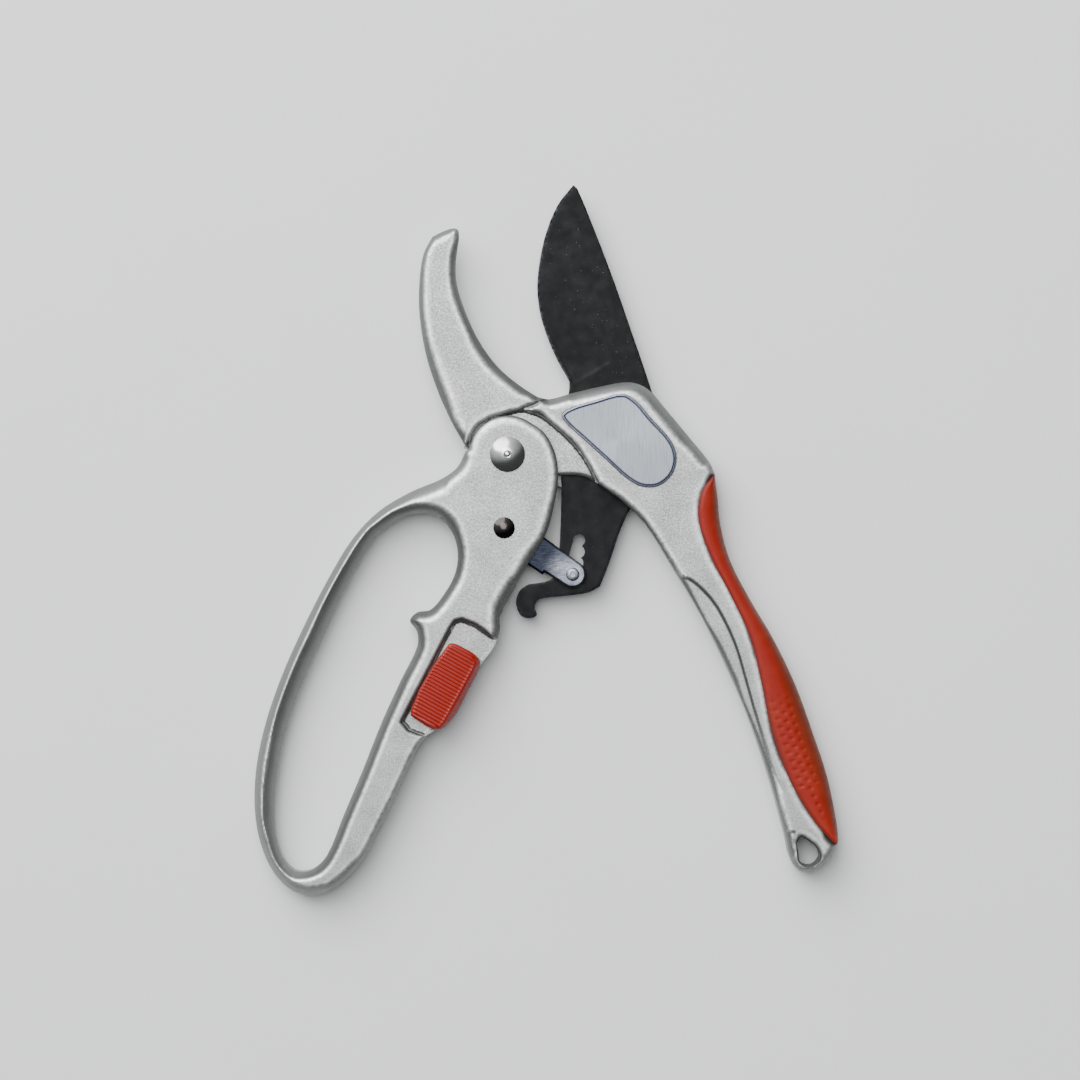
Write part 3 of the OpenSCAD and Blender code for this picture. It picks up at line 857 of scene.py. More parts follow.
class Slot(Enum):
    """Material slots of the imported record, each with its finish."""

    CASTING = ("cast_silver", PowderCoatedCasting())
    RUBBER = ("red_rubber", MouldedRubber())
    LABEL = ("label_aluminium", BrushedLabel())
    CHROME = ("chrome_rivet", PolishedMetal("chromed_turned_steel", "#D6D6D4", "#B4B4B2", 0.2))
    DARK = ("dark_rivet", PolishedMetal("black_nickel_steel", "#4A4644", "#2E2B2A", 0.16))
    ZINC = ("zinc_steel", ZincPlate())
    SPRING = ("spring_steel", PlainMetal("drawn_spring_wire", "#A9ABAE", "#77797C", 0.3))
    NYLON = ("nylon_washer", MouldedPlastic("moulded_black_nylon", "#191A1B", "#2C2D2E", 0.5))
    BLADE = ("coated_blade", BladeCoating())
    BRONZE = ("bronze_bush", PlainMetal("sintered_bronze", "#B98A55", "#8A6236", 0.42))
    PLASTIC = ("red_plastic", MouldedPlastic("moulded_red_plastic", "#860F07", "#A02415"))


_built: dict[Slot, bpy.types.Material] = {}


def dress(piece: bpy.types.Object, body: str, slot: Slot, *nodes: str) -> bpy.types.Object:
    """Gives a piece its finish and its body, and hides the CAD nodes that it stands for.

    Args:
        piece: the finished piece, or a CAD node's own object.
        body: CAD body that it rides on.
        slot: the record's material slot.
        nodes: CAD nodes that the piece replaces.

    Returns:
        The same piece.
    """
    if slot not in _built:
        _built[slot] = slot.value[1].build()
    piece.data.materials.clear()
    piece.data.materials.append(_built[slot])
    if piece.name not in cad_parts:
        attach(piece, body)
        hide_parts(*nodes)
    LOG.info("%s: %d faces on %s", piece.name, len(piece.data.polygons), body)
    return piece


# ---------------------------------------------------------------- the object's sub-assemblies


@dataclass
class FixedHandle:
    """Hook jaw, label body and right handle in one casting, with its grip, label, rivet and screw."""

    body: str = "fixed_handle"
    face_clear: float = 0.02  # how far a face lies under the CAD face
    pitch: float = 0.33  # grid spacing
    ease: float = 0.22  # width over which a face runs into its rounding
    band_level: float = 2.6  # how far under the face the outlines are read
    step_depth: float = 0.9
    grip_crown: float = 0.5
    dimple_mm: float = 1.5
    slot_deg: float = 25
    # Rounding of the front outline: x, y, width, depth
    front_stations: tuple = (
        (-13, 3, 3.0, 1.9), (-21, 20, 2.8, 2.0), (-26.5, 45, 2.0, 1.8), (-25, 60, 1.6, 1.8),
        (-19, 67, 2.2, 2.0), (-15, 66.5, 1.4, 1.6), (-15.4, 57, 2.0, 2.2), (-13, 43.5, 2.2, 2.2),
        (-4, 27.5, 2.8, 2.4), (4, 20.3, 2.6, 2.6), (9, 17.3, 2.0, 2.6), (14, 16.8, 2.6, 2.8),
        (24, 19.4, 3.4, 3.0), (36, 21.6, 3.4, 3.0), (43, 18.5, 3.6, 3.0), (52, 8, 3.6, 3.0),
        (59, -1, 3.0, 2.8), (61, -5, 1.6, 1.8), (58.2, -11.5, 0.7, 0.5), (57.5, -20, 0.5, 0.35),
        (67, -42, 0.5, 0.35), (76, -68, 0.5, 0.35), (84.8, -97.5, 0.6, 0.4), (92.3, -110, 0.9, 0.7),
        (98, -117.5, 2.0, 2.2), (94, -123.6, 2.0, 2.4), (87, -124, 1.8, 2.2), (83.6, -115, 1.6, 1.8),
        (79, -98, 1.6, 1.6), (66, -65, 1.3, 1.3), (50, -34, 1.2, 1.2), (36, -15, 1.2, 1.2),
        (28, -9.5, 1.0, 0.9), (25, -4.5, 0.7, 0.6), (14, 8.5, 0.7, 0.6), (5, 13.5, 0.8, 0.7),
        (-4, 11.5, 0.7, 0.6), (-11, 4.5, 0.8, 0.8))
    back_level: float = 2.5
    back_stations: tuple = ((0, 0, 1.6, 1.4), (60, -30, 0.6, 0.4), (5, 14, 0.8, 0.7))
    valley_line: tuple = ((12.2, 17.2), (9.8, 15.9), (7.4, 14.6), (4.5, 13.5))
    # Closed line round the handle's sunken inner strip
    step_line: tuple = (
        (48, -32), (51.2, -35.9), (54.6, -37.2), (58.6, -40.4), (62.6, -45.2), (66.3, -52), (69, -58.6),
        (71.4, -66.8), (74, -76), (76.8, -85), (80, -95), (84, -106), (70, -106), (40, -50))
    # Closed line round the flat beside the hanging hole
    pad_line: tuple = ((82.5, -112.6), (86.2, -113), (86.4, -116), (86.2, -121), (84, -124), (81, -118))

    def __post_init__(self) -> None:
        """Reads the levels and outlines of the casting from the frame."""
        self.top = corners("fixed_handle_casting")[1][2]
        self.middle = self.top / 2
        self.ledge = level_below("fixed_handle_casting", corners("link_channel")[1][2] + 0.3)
        around = section("fixed_handle_casting", self.ledge - 0.3)[0]
        self.sector = Curve(resample_loop(around), [(0, 0, 0.9, 0.6)])
        loops = section("fixed_handle_casting", self.top - self.band_level)
        self.front = Curve(resample_loop(loops[0]), list(self.front_stations))
        self.hole = Curve(resample_loop(loops[1]), [(0, 0, 1.0, 0.9)])
        back = section("fixed_handle_casting", self.back_level)
        self.back = Curve(resample_loop(back[0]), list(self.back_stations))
        self.back_hole = Curve(resample_loop(back[1]), [(0, 0, 0.8, 0.8)])
        cad = places(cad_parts["fixed_handle_casting"])
        self.hook_back = float(cad[cad[:, 1] > 40, 2].min())
        self.valley = Curve(np.array(self.valley_line), closed=False)
        self.step = Curve(resample_loop(smooth_outline(np.array(self.step_line, float), 6)))
        self.pad = Curve(resample_loop(np.array(self.pad_line, float)))

    def face(self, at: Array) -> Array:
        """Height of the casting's front: face less rounded edges, the valley, the scallop and the hole's lip.

        The scallop is a cubic step across its line that fades out towards the handle's end. Round the pivot,
        outside the face, the field is the ledge that the lever's head turns on.
        """
        drop = soft_max(soft_max(self.front.fall(at), self.hole.fall(at, -1), 0.3), 0, self.ease)
        drop = np.minimum(np.maximum(drop, groove(at, self.valley, 1.2, 0.9)), 9)
        fade = smooth_step(at[:, 1], -104, -84)
        scallop = self.step_depth * fade * smooth_step(self.step.depth_in(at), -0.25, 0.45)
        pad = 0.5 * smooth_step(self.pad.depth_in(at), -0.2, 0.5)
        height = self.top - self.face_clear - drop - scallop - pad
        outside = -self.front.depth_in(at)
        height = np.where(self.sector.depth_in(at) > 0.8, np.maximum(height, self.ledge + 0.05), height)
        ledge = self.ledge - self.face_clear - np.maximum(self.sector.fall(at), 0)
        return np.where(outside > WALL_CELLS * self.pitch, ledge, height)

    def back_face(self, at: Array) -> Array:
        """Height of the casting's back: flat with rounded edges, and the hook's own rounded level beyond."""
        drop = soft_max(np.maximum(self.back.fall(at), self.back_hole.fall(at, -1)), 0, self.ease)
        hook_drop = np.minimum(self.front.fall(at), self.sector.fall(at))
        hook = self.hook_back + self.face_clear + np.clip(hook_drop, 0, 1.2)
        root = (at[:, 1] > 0) & (at[:, 0] < 3)
        beyond = (self.back.depth_in(at) < -WALL_CELLS * self.pitch) & (root | (at[:, 1] > 14))
        return np.where(beyond, hook, self.face_clear + np.minimum(drop, 1.5))

    def casting(self) -> None:
        """Builds the casting from its two faces, cut by the CAD solid."""
        grid = Grid.over("fixed_handle_casting", self.pitch)
        block = envelope(grid, self.face, self.back_face)
        piece = common_part("fixed_casting", block, merged_copy("fixed_handle_casting"), 22)
        at = places(piece)
        plan = at[:, :2]
        inward = self.front.depth_in(plan)
        # the slope drives the material's painted shade on rounded edges
        mark(piece, "slope", slope(piece))
        # where a face meets its rounding: the line that carries the painted highlight
        rim = crest(self.front.fall(plan), self.hole.fall(plan, -1), 0 * inward)
        mark(piece, "rim", rim * (at[:, 2] > self.top - 0.6) * (inward > 0))
        # painted shade: at the foot of the ledge's wall, along the scallop's step, in the valley and round the
        # hanging hole's lip
        floor = (np.abs(at[:, 2] - self.ledge) < 0.2) & (self.sector.depth_in(plan) > 0.6)
        wall = 0.5 * np.exp(-(np.minimum(inward, 0) / 0.4) ** 2) * floor
        step_line = np.exp(-((self.step.depth_in(plan) - 0.25) / 0.35) ** 2) * 0.6
        step_line *= smooth_step(at[:, 1], -98, -66) * (at[:, 2] > self.middle)
        valley = groove(plan, self.valley, 0.7, 0.8) * (at[:, 2] > self.middle)
        lip = 0.8 * np.exp(-(self.hole.near(plan)[0] / 0.35) ** 2) * (at[:, 2] < self.top - 0.5)
        mark(piece, "crease_shade", np.max([wall, step_line, valley, lip], axis=0))
        dress(piece, self.body, Slot.CASTING, "fixed_handle_casting")

    def grip(self) -> None:
        """Builds the rubber grip.

        Its section at share u of its length runs round a superellipse, from the seam on the front over the
        crown, round the outer side and back to the seam on the rear; a wall in the casting closes it.
        Dimples are round hollows on a hexagonal lattice in the lower third of the front.
        """
        loop = section("handle_grip", 1.0)[0]
        upper, lower = int(loop[:, 1].argmax()), int(loop[:, 1].argmin())
        ring = np.roll(loop, -upper, axis=0)
        cut = (lower - upper) % len(loop)
        first, second = ring[:cut + 1], np.concatenate([ring[cut:], ring[:1]])[::-1]
        outer, inner = (first, second) if first[:, 0].mean() > second[:, 0].mean() else (second, first)
        u = np.linspace(0, 1, 420)
        sides = [np.stack([np.interp(u * length(s)[-1], length(s), s[:, k]) for k in (0, 1)], axis=1)
                 for s in (inner, outer)]
        width = np.linalg.norm(sides[1] - sides[0], axis=1)
        v = np.linspace(0, 1, 73)
        angle = math.pi / 2 - v * math.pi
        power = 2 / 2.7
        across = np.abs(np.cos(angle)) ** power
        up = np.sign(np.sin(angle)) * np.abs(np.sin(angle)) ** power
        crown = self.grip_crown * np.sin(math.pi * np.clip(u, 0, 1)) ** 0.5
        tall = self.middle - 0.12 + crown[:, None] * (up > 0)
        seam = 0.35 * np.exp(-(across[None, :] * width[:, None] / 0.55) ** 2)
        run = sides[0][:, None, :] + (sides[1] - sides[0])[:, None, :] * across[None, :, None]
        height = self.middle + up[None, :] * (tall - seam)
        height = height - self.dimples(u, across, width) * np.sign(up)[None, :]
        shell = np.concatenate([run, height[..., None]], axis=2)
        back = shell[:, ::-1][:, [0, -1]].copy()
        back[..., :2] = (sides[0] - 0.25 * unit_rows(sides[1] - sides[0]))[:, None, :]
        points = np.concatenate([shell, back], axis=1)
        faces = sheet_faces(len(u), points.shape[1], wrap_columns=True)
        piece = new_piece("rubber_grip", closed_mesh("rubber_grip", points.reshape(-1, 3), faces), 50)
        at = places(piece)[:, :2]
        to_inner = Curve(inner, closed=False).near(at)[0]
        to_outer = Curve(outer, closed=False).near(at)[0]
        share = np.clip(to_inner / (to_inner + to_outer + 0.01), 0, 1)
        # painted shade: darker and browner towards the outer side
        mark(piece, "side", smooth_step(share, 0.5, 0.95))
        # painted shade along the seam where the grip meets the casting
        mark(piece, "crease_shade", np.exp(-(to_inner / 0.35) ** 2))
        dress(piece, self.body, Slot.RUBBER, "handle_grip")

    def dimples(self, u: Array, across: Array, width: Array) -> Array:
        """Depth of the grip's dimples over its grid, on a hexagonal lattice of 2.6 mm."""
        pitch = 2.6
        along = (u * 118)[:, None] + 0 * across[None, :]
        side = across[None, :] * width[:, None] - width[:, None] * 0.42
        row = np.round(side / (pitch * 0.866))
        shift = (row % 2) * pitch / 2
        x = along - shift - pitch * np.round((along - shift) / pitch)
        y = side - row * pitch * 0.866
        bowl = np.clip(1 - (x ** 2 + y ** 2) / (self.dimple_mm / 2) ** 2, 0, 1)
        area_on = smooth_step(u, 0.56, 0.66) * smooth_step(-u, -0.95, -0.88)
        within = (np.abs(row) * pitch * 0.866 + 1.3 < width[:, None] * 0.34)
        return 0.22 * bowl * area_on[:, None] * within

    def label(self) -> None:
        """Builds the label: a flat plate with a softly turned rim and a printed line inside it."""
        low, high = corners("label_plate")
        rim = Curve(section("label_plate", (low[2] + high[2]) / 2)[0], [(0, 0, 0.35, 0.15)])
        grid = Grid.over("label_plate", 0.2, 1)
        block = envelope(grid, lambda at: high[2] - 0.01 - np.maximum(rim.fall(at), 0),
                         lambda at: np.full(len(at), low[2] + 0.01))
        piece = common_part("label", block, merged_copy("label_plate"), 30)
        gap = rim.near(places(piece)[:, :2])[0]
        mark(piece, "border", smooth_step(gap, 0.4, 0.55) * smooth_step(-gap, -1.15, -0.95))
        dress(piece, self.body, Slot.LABEL, "label_plate")

    def rivet(self) -> None:
        """Builds the main rivet: dome with a ringed centre dimple, shank, and peened end in its collar."""
        low, high = corners("main_pivot_rivet")
        radius = (high[0] - low[0]) / 2
        rise = high[2] - self.top
        shank = (corners("main_pivot_collar")[1][0]) * 0.66
        head = dome_profile(radius, self.top + 0.03, rise, 0.5, 22)
        crown = [p for p in head[2:] if p[0] > 1.25]
        tip = high[2]
        dimple = [(1.15, tip - 0.03), (1.0, tip - 0.16), (0.8, tip - 0.2), (0.6, tip - 0.08),
                  (0.3, tip - 0.02), (0, tip)]
        profile = [(0, 0.02), (shank - 0.5, 0.02), (shank, 0.4), (shank, self.top),
                   (radius - 0.3, self.top + 0.03)]
        dress(lathe("main_rivet", np.zeros(2), profile + crown + dimple, 96, 40), self.body, Slot.CHROME,
              "main_pivot_rivet")
        rim = corners("main_pivot_collar")[1]
        ring = [(shank + 0.02, 0.05), (rim[0] - 0.5, 0.02), (rim[0], 0.4), (rim[0], rim[2]),
                (shank + 0.02, rim[2])]
        dress(lathe("main_rivet_collar", np.zeros(2), ring), self.body, Slot.ZINC, "main_pivot_collar")

    def screw(self) -> None:
        """Builds the blade's slotted screw end and nut in the back; the screw's head is under the label."""
        axis = centre("blade_pivot_screw")[:2]
        nut_low, nut_high = corners("blade_pivot_nut")
        outer = (nut_high[0] - nut_low[0]) / 2
        inner = outer - 1.9
        turn = math.radians(self.slot_deg)

        def slotted(at: Array) -> Array:
            """Rounded end with a straight driver slot across it."""
            off = at - axis
            across = np.abs(off[:, 0] * math.sin(turn) + off[:, 1] * math.cos(turn))
            radius = np.hypot(off[:, 0], off[:, 1])
            rounding = 0.5 * smooth_step(radius, inner - 0.7, inner)
            return 0.03 + rounding + 1.1 * smooth_step(-across, -0.55, -0.42)

        top = corners("blade_pivot_screw")[1][2]
        grid = Grid(tuple(axis - outer - 1), tuple(axis + outer + 1), (0.12, 0.12))
        block = envelope(grid, lambda at: np.full(len(at), top - self.face_clear), slotted)
        dress(common_part("blade_screw", block, merged_copy("blade_pivot_screw"), 30), self.body, Slot.ZINC,
              "blade_pivot_screw")
        ring = [(inner + 0.02, 0.3), (inner + 0.3, 0.03), (outer - 0.5, 0.03), (outer, 0.5), (outer, nut_high[2]),
                (inner + 0.02, nut_high[2])]
        dress(lathe("blade_nut", axis, ring), self.body, Slot.ZINC, "blade_pivot_nut")

    def build(self) -> None:
        """Builds every piece of the fixed handle."""
        self.casting()
        self.grip()
        self.label()
        self.rivet()
        self.screw()
        dress(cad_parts["pivot_washers"], self.body, Slot.NYLON)
        dress(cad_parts["opening_spring"], self.body, Slot.SPRING)


def resample_loop(loop: Array, step: float = 1.0) -> Array:
    """Closed outline with a point at least every step."""
    return resample(np.concatenate([loop, loop[:1]]), step)[:-1]


def length(line: Array) -> Array:
    """Distance walked along a polyline at each of its corners."""
    return np.concatenate([[0], np.cumsum(np.linalg.norm(np.diff(line, axis=0), axis=1))])


def unit_rows(rows: Array) -> Array:
    """Each row divided by its own length."""
    return rows / np.maximum(np.linalg.norm(rows, axis=1, keepdims=True), 1e-9)


def smooth_outline(loop: Array, steps: int) -> Array:
    """Closed smooth curve through points: cubic between neighbours, its slopes the chords past them."""
    before, after, far = (np.roll(loop, k, axis=0) for k in (1, -1, -2))
    t = (np.arange(steps) / steps)[None, :, None]
    a, b, c, d = (x[:, None, :] for x in (before, loop, after, far))
    bend = (2 * a - 5 * b + 4 * c - d) * t ** 2
    curve = 0.5 * (2 * b + (c - a) * t + bend + (3 * b - a - 3 * c + d) * t ** 3)
    return curve.reshape(-1, 2)


@dataclass
class LeverHandle:
    """Fork, arm and closed finger loop in one casting, with the link's rivet."""

    body: str = "lever_handle"
    face_clear: float = 0.02  # how far a face lies under the CAD face
    pitch: float = 0.33  # grid spacing
    ease: float = 0.22  # width over which a face runs into its rounding
    band_level: float = 2.6  # how far under the face the outlines are read
    # Rounding of the outer outline and of the loop's inside: x, y, width, depth
    outer_stations: tuple = (
        (-11, 4, 1.4, 1.1), (0, 11.7, 1.4, 1.1), (10, 7.5, 1.4, 1.1), (15.2, -6.5, 1.4, 1.1),
        (12, -23, 1.8, 1.3), (6, -33, 2.4, 1.6), (0, -44, 3.4, 2.4), (-2.4, -52, 2.4, 1.8),
        (-6, -60, 1.4, 1.2), (-11.5, -69, 0.8, 0.8), (-18, -80, 1.0, 1.0), (-24, -84.5, 1.2, 1.2),
        (-31, -96.5, 1.3, 1.4), (-40, -115, 1.5, 1.6), (-50, -128.5, 2.4, 2.6), (-60, -132.4, 3.0, 4.0),
        (-70, -126, 2.8, 4.2), (-76, -104, 2.5, 3.6), (-72.6, -80.5, 2.6, 3.4), (-61.6, -52.5, 2.6, 3.2),
        (-46.6, -25.4, 2.7, 3.2), (-34, -13.8, 3.0, 3.4), (-23, -8.8, 3.8, 3.4), (-15.5, -4.5, 2.6, 2.4))
    inner_stations: tuple = (
        (-35.3, -20.9, 3.6, 4.2), (-28.3, -17.8, 3.2, 3.6), (-21.5, -18.3, 3.2, 3.2), (-14.9, -29.7, 2.6, 2.8),
        (-19.8, -43, 2.6, 2.8), (-26, -47, 2.8, 3.0), (-29.3, -49.9, 2.8, 3.0), (-27.2, -53, 2.6, 3.0),
        (-28, -60, 2.8, 3.6), (-37.8, -80, 2.8, 4.0), (-49.5, -109, 2.8, 4.2), (-55, -122, 2.6, 4.0),
        (-62, -125.2, 2.2, 3.6), (-68.3, -119.5, 2.6, 4.2), (-70, -104, 3.6, 5.0), (-62, -69, 4.4, 5.4),
        (-50, -42, 4.4, 5.4), (-41, -27, 4.2, 5.0))

    def __post_init__(self) -> None:
        """Reads the casting's levels and outlines from the frame."""
        self.top = corners("lever_handle_casting")[1][2]
        loops = section("lever_handle_casting", self.top - self.band_level)
        self.outer = Curve(resample_loop(loops[0]), list(self.outer_stations))
        self.inner = Curve(resample_loop(loops[1]), list(self.inner_stations))
        rim = section("lever_handle_casting", self.top - 1.0)[0]
        self.rim = Curve(resample_loop(rim), [(0, 0, 0.9, 0.6)])
        self.floor = level_below("lever_handle_casting", corners("lock_button")[0][2])

    def drop(self, at: Array) -> Array:
        """Fall below the face: the larger of the outer edge's and the loop's, eased where they meet."""
        edges = soft_max(self.outer.fall(at), self.inner.fall(at, -1), 0.5)
        return np.minimum(soft_max(edges, 0, self.ease), self.top / 2 - 0.4)

    def face(self, at: Array) -> Array:
        """Height of the casting's front: the face less its rounded edges, and the floor of the pocket."""
        height = self.top - self.face_clear - np.maximum(self.drop(at), np.minimum(self.rim.fall(at), 1.5))
        in_pocket = np.minimum(self.outer.depth_in(at) - 0.3, -self.rim.depth_in(at)) > WALL_CELLS * self.pitch
        return np.where(in_pocket, np.minimum(height, self.floor - self.face_clear), height)

    def casting(self) -> None:
        """Builds the casting from two rounded faces, cut by the CAD solid."""
        grid = Grid.over("lever_handle_casting", self.pitch)
        block = envelope(grid, self.face, lambda at: self.face_clear + self.drop(at))
        piece = common_part("lever_casting", block, merged_copy("lever_handle_casting"), 22)
        at = places(piece)
        plan = at[:, :2]
        # the slope drives the material's painted shade on rounded edges
        mark(piece, "slope", slope(piece))
        # where the face meets its rounding: the line that carries the painted highlight
        falls = self.outer.fall(plan), self.inner.fall(plan, -1)
        on_face = np.abs(np.abs(at[:, 2] - self.top / 2) - self.top / 2 + self.drop(plan)) < 0.3
        mark(piece, "rim", crest(*falls, 0 * falls[0]) * on_face)
        # painted shade round the foot of the pocket's wall
        floor = (at[:, 2] > self.top - 2.5) & (at[:, 2] < self.top - 0.2) & (self.outer.near(plan)[0] > 1.5)
        mark(piece, "crease_shade", np.exp(-(self.rim.near(plan)[0] / 0.6) ** 2) * floor * 0.9)
        dress(piece, self.body, Slot.CASTING, "lever_handle_casting")

    def rivet(self) -> None:
        """Builds the link's rivet, its dark dome and its closed end with a collar."""
        low, high = corners("link_rivet")
        axis = centre("link_rivet")[:2]
        radius = (high[0] - low[0]) / 2
        collar = corners("link_rivet_collar")[1]
        shank = radius - 1.2
        head = dome_profile(radius, self.top + 0.02, high[2] - self.top, 0.35, 18)
        profile = [(0, 0.03), (shank - 0.3, 0.03), (shank, 0.3), (shank, self.top)] + head[1:]
        dress(lathe("link_rivet_head", axis, profile, 72, 40), self.body, Slot.DARK, "link_rivet")
        reach = collar[0] - axis[0]
        ring = [(shank + 0.02, 0.04), (reach - 0.3, 0.03), (reach, 0.3), (reach, collar[2]),
                (shank + 0.02, collar[2])]
        dress(lathe("link_rivet_ring", axis, ring), self.body, Slot.ZINC, "link_rivet_collar")

    def build(self) -> None:
        """Builds every piece of the lever handle."""
        self.casting()
        self.rivet()


@dataclass
class RatchetLink:
    """Folded link with its pawl pin and the light spring that swings it."""

    body: str = "link"

    def channel(self) -> None:
        """Builds the link: the CAD channel with rolled sheet edges on its two outer faces."""
        low, high = corners("link_channel")
        loops = section("link_channel", high[2] - 0.7)
        edge = Curve(resample_loop(loops[0], 0.5), [(0, 0, 0.6, 0.35)])
        grid = Grid.over("link_channel", 0.15, 1)
        block = envelope(
            grid,
            lambda at: high[2] - 0.01 - np.clip(edge.fall(at), 0, 1.2),
            lambda at: low[2] + 0.01 + np.clip(edge.fall(at), 0, 1.2))
        piece = common_part("ratchet_link", block, merged_copy("link_channel"), 30)
        away = np.linalg.norm(places(piece)[:, :2] - centre("pawl_pin")[:2], axis=1)
        # painted shade: the link turns darker away from the pawl pin
        mark(piece, "root", smooth_step(away, 1.0, 10.0))
        dress(piece, self.body, Slot.ZINC, "link_channel")

    def pin(self) -> None:
        """Builds the pawl pin: a shank with two low rounded heads."""
        low, high = corners("pawl_pin")
        axis = centre("pawl_pin")[:2]
        plate = corners("link_channel")
        head, shank = (high[0] - low[0]) / 2, (high[0] - low[0]) / 2 - 0.75
        profile = [(0, low[2]), (head - 0.5, low[2]), (head, low[2] + 0.4), (head, plate[0][2]),
                   (shank, plate[0][2]), (shank, plate[1][2]), (head, plate[1][2]), (head, high[2] - 0.45),
                   (head - 0.2, high[2] - 0.15), (head - 0.7, high[2] - 0.02), (0.9, high[2]),
                   (0.75, high[2] - 0.12), (0, high[2] - 0.14)]
        dress(lathe("pawl", axis, profile, 64, 35), self.body, Slot.ZINC, "pawl_pin")

    def build(self) -> None:
        """Builds every piece of the link."""
        self.channel()
        self.pin()
        dress(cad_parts["link_spring"], self.body, Slot.SPRING)


@dataclass
class Blade:
    """Cutting blade ground from plate, with its bush."""

    body: str = "blade"
    pitch: float = 0.35
    front_grind: float = 0.55
    back_grind: float = 1.75
    hone_width: float = 1.1
    hone_depth: float = 0.3
    plunge: float = 0.3
    # Closed line round the ground side: the plunge, then the ridge up to the tip
    ridge_line: tuple = (
        (17.5, 20.2), (20.5, 21.7), (26, 24.8), (30.6, 27.6), (31, 31), (29.6, 40), (27, 52), (24, 63),
        (21.6, 72), (20.4, 78), (20.2, 84), (0, 84), (0, 20))

    def __post_init__(self) -> None:
        """Reads the blade's outline and splits off its cutting edge."""
        low, high = corners("cutting_blade")
        self.low, self.high = low[2], high[2]
        loop = resample_loop(section("cutting_blade", (self.low + self.high) / 2)[0])
        self.outline = Curve(loop, [(0, 0, 0.5, 0.3)])
        tip = loop[loop[:, 1].argmax()]
        edge = loop[(loop[:, 0] < tip[0] + 0.2) & (loop[:, 1] > 21)]
        left = edge[np.argsort(edge[:, 1])]
        self.edge = Curve(left, closed=False)
        self.ground = Curve(resample_loop(np.array(self.ridge_line, float)))

    def grind(self, at: Array) -> Array:
        """Share of the grind from 0 on its ridge to 1 at the edge: one gap over the sum of both."""
        to_ridge = np.maximum(self.ground.depth_in(at), 0)
        to_edge = self.edge.near(at)[0]
        beyond = self.outline.depth_in(at) < 0
        share = to_ridge / (to_ridge + to_edge + 1e-6)
        return np.where(beyond & (to_ridge > 0), 1, share)

    def build(self) -> None:
        """Builds the blade from its two ground faces, cut by the CAD solid."""
        def fall(at: Array, depth: float) -> Array:
            """Grind, hone, the plunge line's small step and the rounding of the blade's other edges."""
            hone = self.hone_depth * np.clip(1 - self.edge.near(at)[0] / self.hone_width, 0, 1)
            within = self.ground.depth_in(at)
            plunge = self.plunge * smooth_step(within, 0, 0.5) * (1 - 0.75 * smooth_step(at[:, 1], 26, 40))
            return np.minimum(depth * self.grind(at) + hone * (within > 0) + plunge
                              + np.clip(self.outline.fall(at), 0, 0.3), 2.0)

        grid = Grid.over("cutting_blade", self.pitch)
        block = envelope(
            grid,
            lambda at: self.high - 0.01 - fall(at, self.front_grind),
            lambda at: self.low + 0.01 + np.minimum(fall(at, self.back_grind), self.high - self.low - 0.85))
        piece = common_part("blade", block, merged_copy("cutting_blade"), 14)
        at = places(piece)
        mark(piece, "edge", np.exp(-(self.edge.near(at[:, :2])[0] / 0.5) ** 2)
             + 0.5 * np.exp(-(self.outline.near(at[:, :2])[0] / 0.35) ** 2))
        mark(piece, "spine", smooth_step(at[:, 0] + 0.42 * at[:, 1] - 47, -16, -2) * (at[:, 1] > 20))
        dress(piece, self.body, Slot.BLADE, "cutting_blade")
        dress(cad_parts["blade_bush"], self.body, Slot.BRONZE)


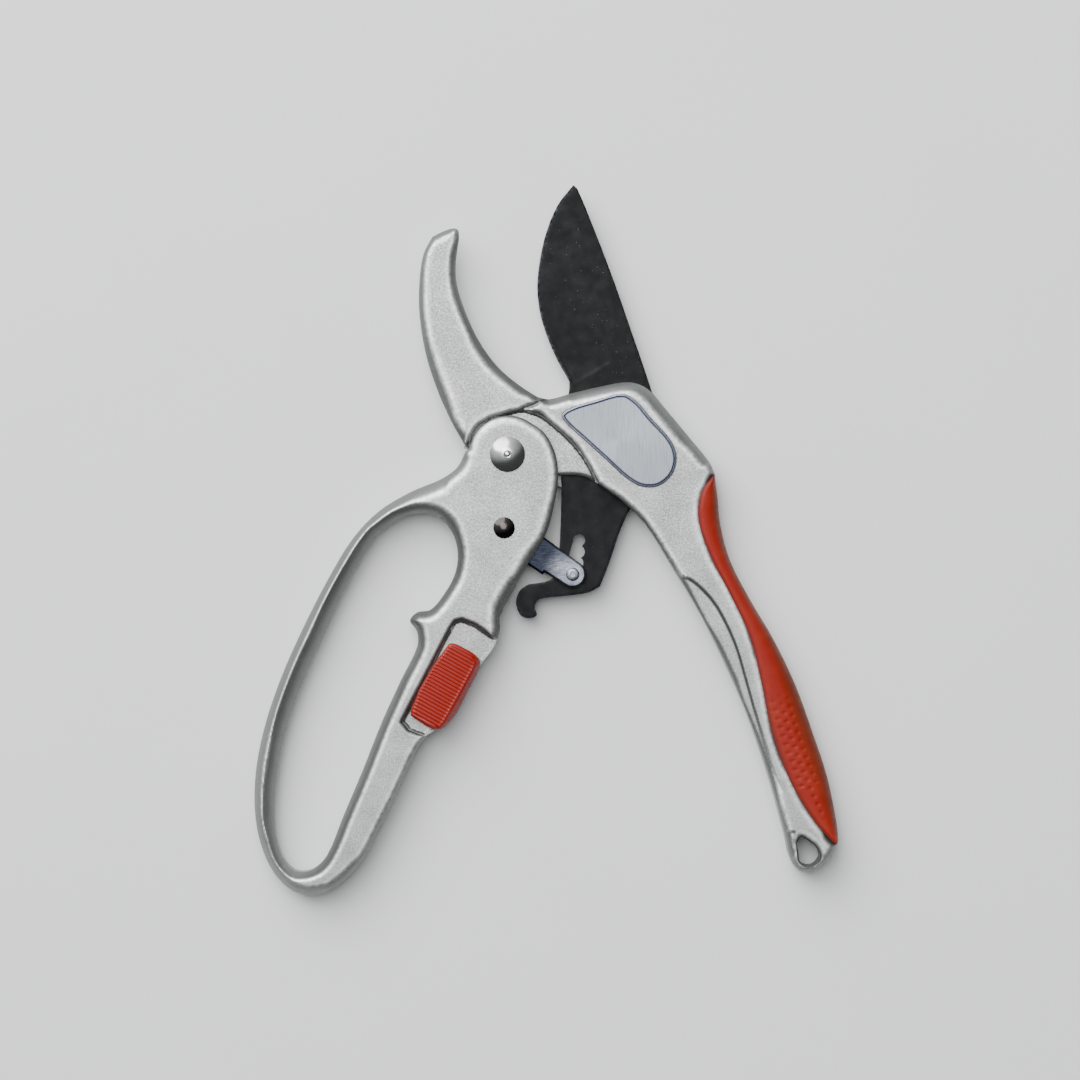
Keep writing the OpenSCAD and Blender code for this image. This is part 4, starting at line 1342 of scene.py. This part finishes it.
@dataclass
class Lock:
    """Ribbed button that slides in the arm's pocket, with its peg, retainer and wave washer."""

    body: str = "lock"
    turn_deg: float = 61
    rib_pitch: float = 1.05
    rib_depth: float = 0.3
    side_strip: float = 2.6
    # Rounding of the button's outline: x, y, width, depth
    edge_stations: tuple = ((0, -60, 0.8, 0.8), (-8.5, -64, 1.8, 1.6), (-15, -77, 1.8, 1.6),
                            (-20, -82, 1.2, 1.2), (-24, -66, 0.7, 0.6), (-13, -58, 0.9, 0.7))

    def build(self) -> None:
        """Builds the button from a ribbed, rounded height field on its own outline, and dresses the rest."""
        low, high = corners("lock_button")
        loop = smooth_outline(section("lock_button", high[2] - 1.2)[0][::2], 3)
        edge = Curve(loop, list(self.edge_stations))
        turn = math.radians(self.turn_deg)
        along_axis = np.array([math.cos(turn), math.sin(turn)])
        across_axis = np.array([math.sin(turn), -math.cos(turn)])
        reach = loop @ across_axis
        right, left = reach.max(), reach.min()

        def top(at: Array) -> Array:
            """Crown across the button, cosine ribs along it, and a plain strip down its outer side."""
            across = at @ across_axis
            along = at @ along_axis
            crown = 0.9 * ((across - (left + right) / 2) / (right - left)) ** 2
            on = smooth_step(right - across, self.side_strip - 0.5, self.side_strip + 0.4)
            on = on * smooth_step(edge.depth_in(at), 0.4, 1.0)
            rib = self.rib_depth * (0.5 - 0.5 * np.cos(2 * math.pi * along / self.rib_pitch)) ** 0.7
            fall = 0.9 * smooth_step(self.side_strip - (right - across), 0.0, self.side_strip)
            return high[2] - crown - rib * on - fall - np.clip(edge.fall(at), 0, 3)

        span = np.column_stack([loop @ along_axis, loop @ -across_axis])
        grid = Grid(tuple(span.min(0) - 1), tuple(span.max(0) + 1), (0.1, 0.25), self.turn_deg)
        block = envelope(grid, top, lambda at: np.full(len(at), low[2]))
        piece = common_part("lock_slider_button", block, prism(loop, low[2] - 1, high[2] + 1), 40)
        at = places(piece)
        # painted highlight along the rib crests
        crests = 0.5 + 0.5 * np.cos(2 * math.pi * (at[:, :2] @ along_axis) / self.rib_pitch)
        mark(piece, "edge", crests * (at[:, 2] > high[2] - 1.2))
        dress(piece, self.body, Slot.PLASTIC, "lock_button")
        for node, slot in (("lock_peg", Slot.ZINC), ("lock_retainer", Slot.SPRING),
                           ("lock_wave_washer", Slot.SPRING)):
            dress(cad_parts[node], self.body, slot)


# ---------------------------------------------------------------- stage


@dataclass
class Studio:
    """Pale floor, overhead camera and soft light."""

    view_width: float = 0.324
    lens: float = 135
    sensor: float = 36
    offset: tuple[float, float] = (-0.00195, -0.00005)

    def build(self, low: Array, high: Array) -> None:
        """Makes the floor under the tool, the camera over it and the lights.

        Args:
            low: lowest corner of the CAD model, in metres.
            high: highest corner of the CAD model.
        """
        middle = (np.array(low) + np.array(high)) / 2
        scene = bpy.context.scene
        floor_mesh = mesh_from("floor", np.array([(-3, -3, 0), (3, -3, 0), (3, 3, 0), (-3, 3, 0)]) * 1000
                               + np.array([0, 0, low[2] / MM]), np.array([[0, 1, 2, 3]]))
        floor = bpy.data.objects.new("floor", floor_mesh)
        scene.collection.objects.link(floor)
        paper = Surface("pale_paper_floor", 0.0, 0.9)
        paper.link("Base Color", paper.mix(paper.noise(60, 2), linear("#FBFBFB"), linear("#F6F6F6")))
        floor_mesh.materials.append(paper.material)
        floor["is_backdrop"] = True

        data = bpy.data.cameras.new("camera")
        data.lens, data.sensor_width = self.lens, self.sensor
        camera = bpy.data.objects.new("camera", data)
        distance = self.view_width * self.lens / self.sensor
        camera.location = (middle[0] + self.offset[0], middle[1] + self.offset[1], distance + high[2] * 0.7)
        data.clip_end = 20
        scene.collection.objects.link(camera)
        scene.camera = camera

        world = bpy.data.worlds.new("studio")
        world.use_nodes = True
        tree = world.node_tree
        toward = add(tree, "VectorMath", {0: add(tree, "TexCoord").outputs["Generated"], 1: (-0.34, 0.7, 0.63)},
                     operation="DOT_PRODUCT").outputs["Value"]
        level = add(tree, "MapRange", {"Value": toward, "From Min": 0.3, "From Max": 1.0, "To Min": 0.07,
                                       "To Max": 1.2}).outputs["Result"]
        tree.nodes["Background"].inputs["Color"].default_value = (0.94, 0.97, 1, 1)
        tree.links.new(level, tree.nodes["Background"].inputs["Strength"])
        scene.world = world
        self.area("key", (-0.6, 0.95, 1.15), 1.5, 30, middle)
        self.area("overhead", (-0.1, 0.25, 1.7), 0.9, 13, middle)

    @staticmethod
    def area(name: str, at: tuple, size: float, watts: float, target: Array) -> None:
        """Adds a round soft light that faces a target."""
        data = bpy.data.lights.new(name, "AREA")
        data.shape = "DISK"
        data.size, data.energy = size, watts
        light = bpy.data.objects.new(name, data)
        light.location = at
        light.rotation_euler = (Vector(target) - light.location).to_track_quat("-Z", "Y").to_euler()
        bpy.context.scene.collection.objects.link(light)


def main() -> None:
    """Builds the studio and every sub-assembly in order."""
    logging.basicConfig(level=logging.INFO, format="%(name)s: %(message)s")
    cad_low, cad_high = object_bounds()
    Studio().build(cad_low, cad_high)
    for part in (FixedHandle(), LeverHandle(), RatchetLink(), Blade(), Lock()):
        part.build()


if __name__ == "__main__":
    main()
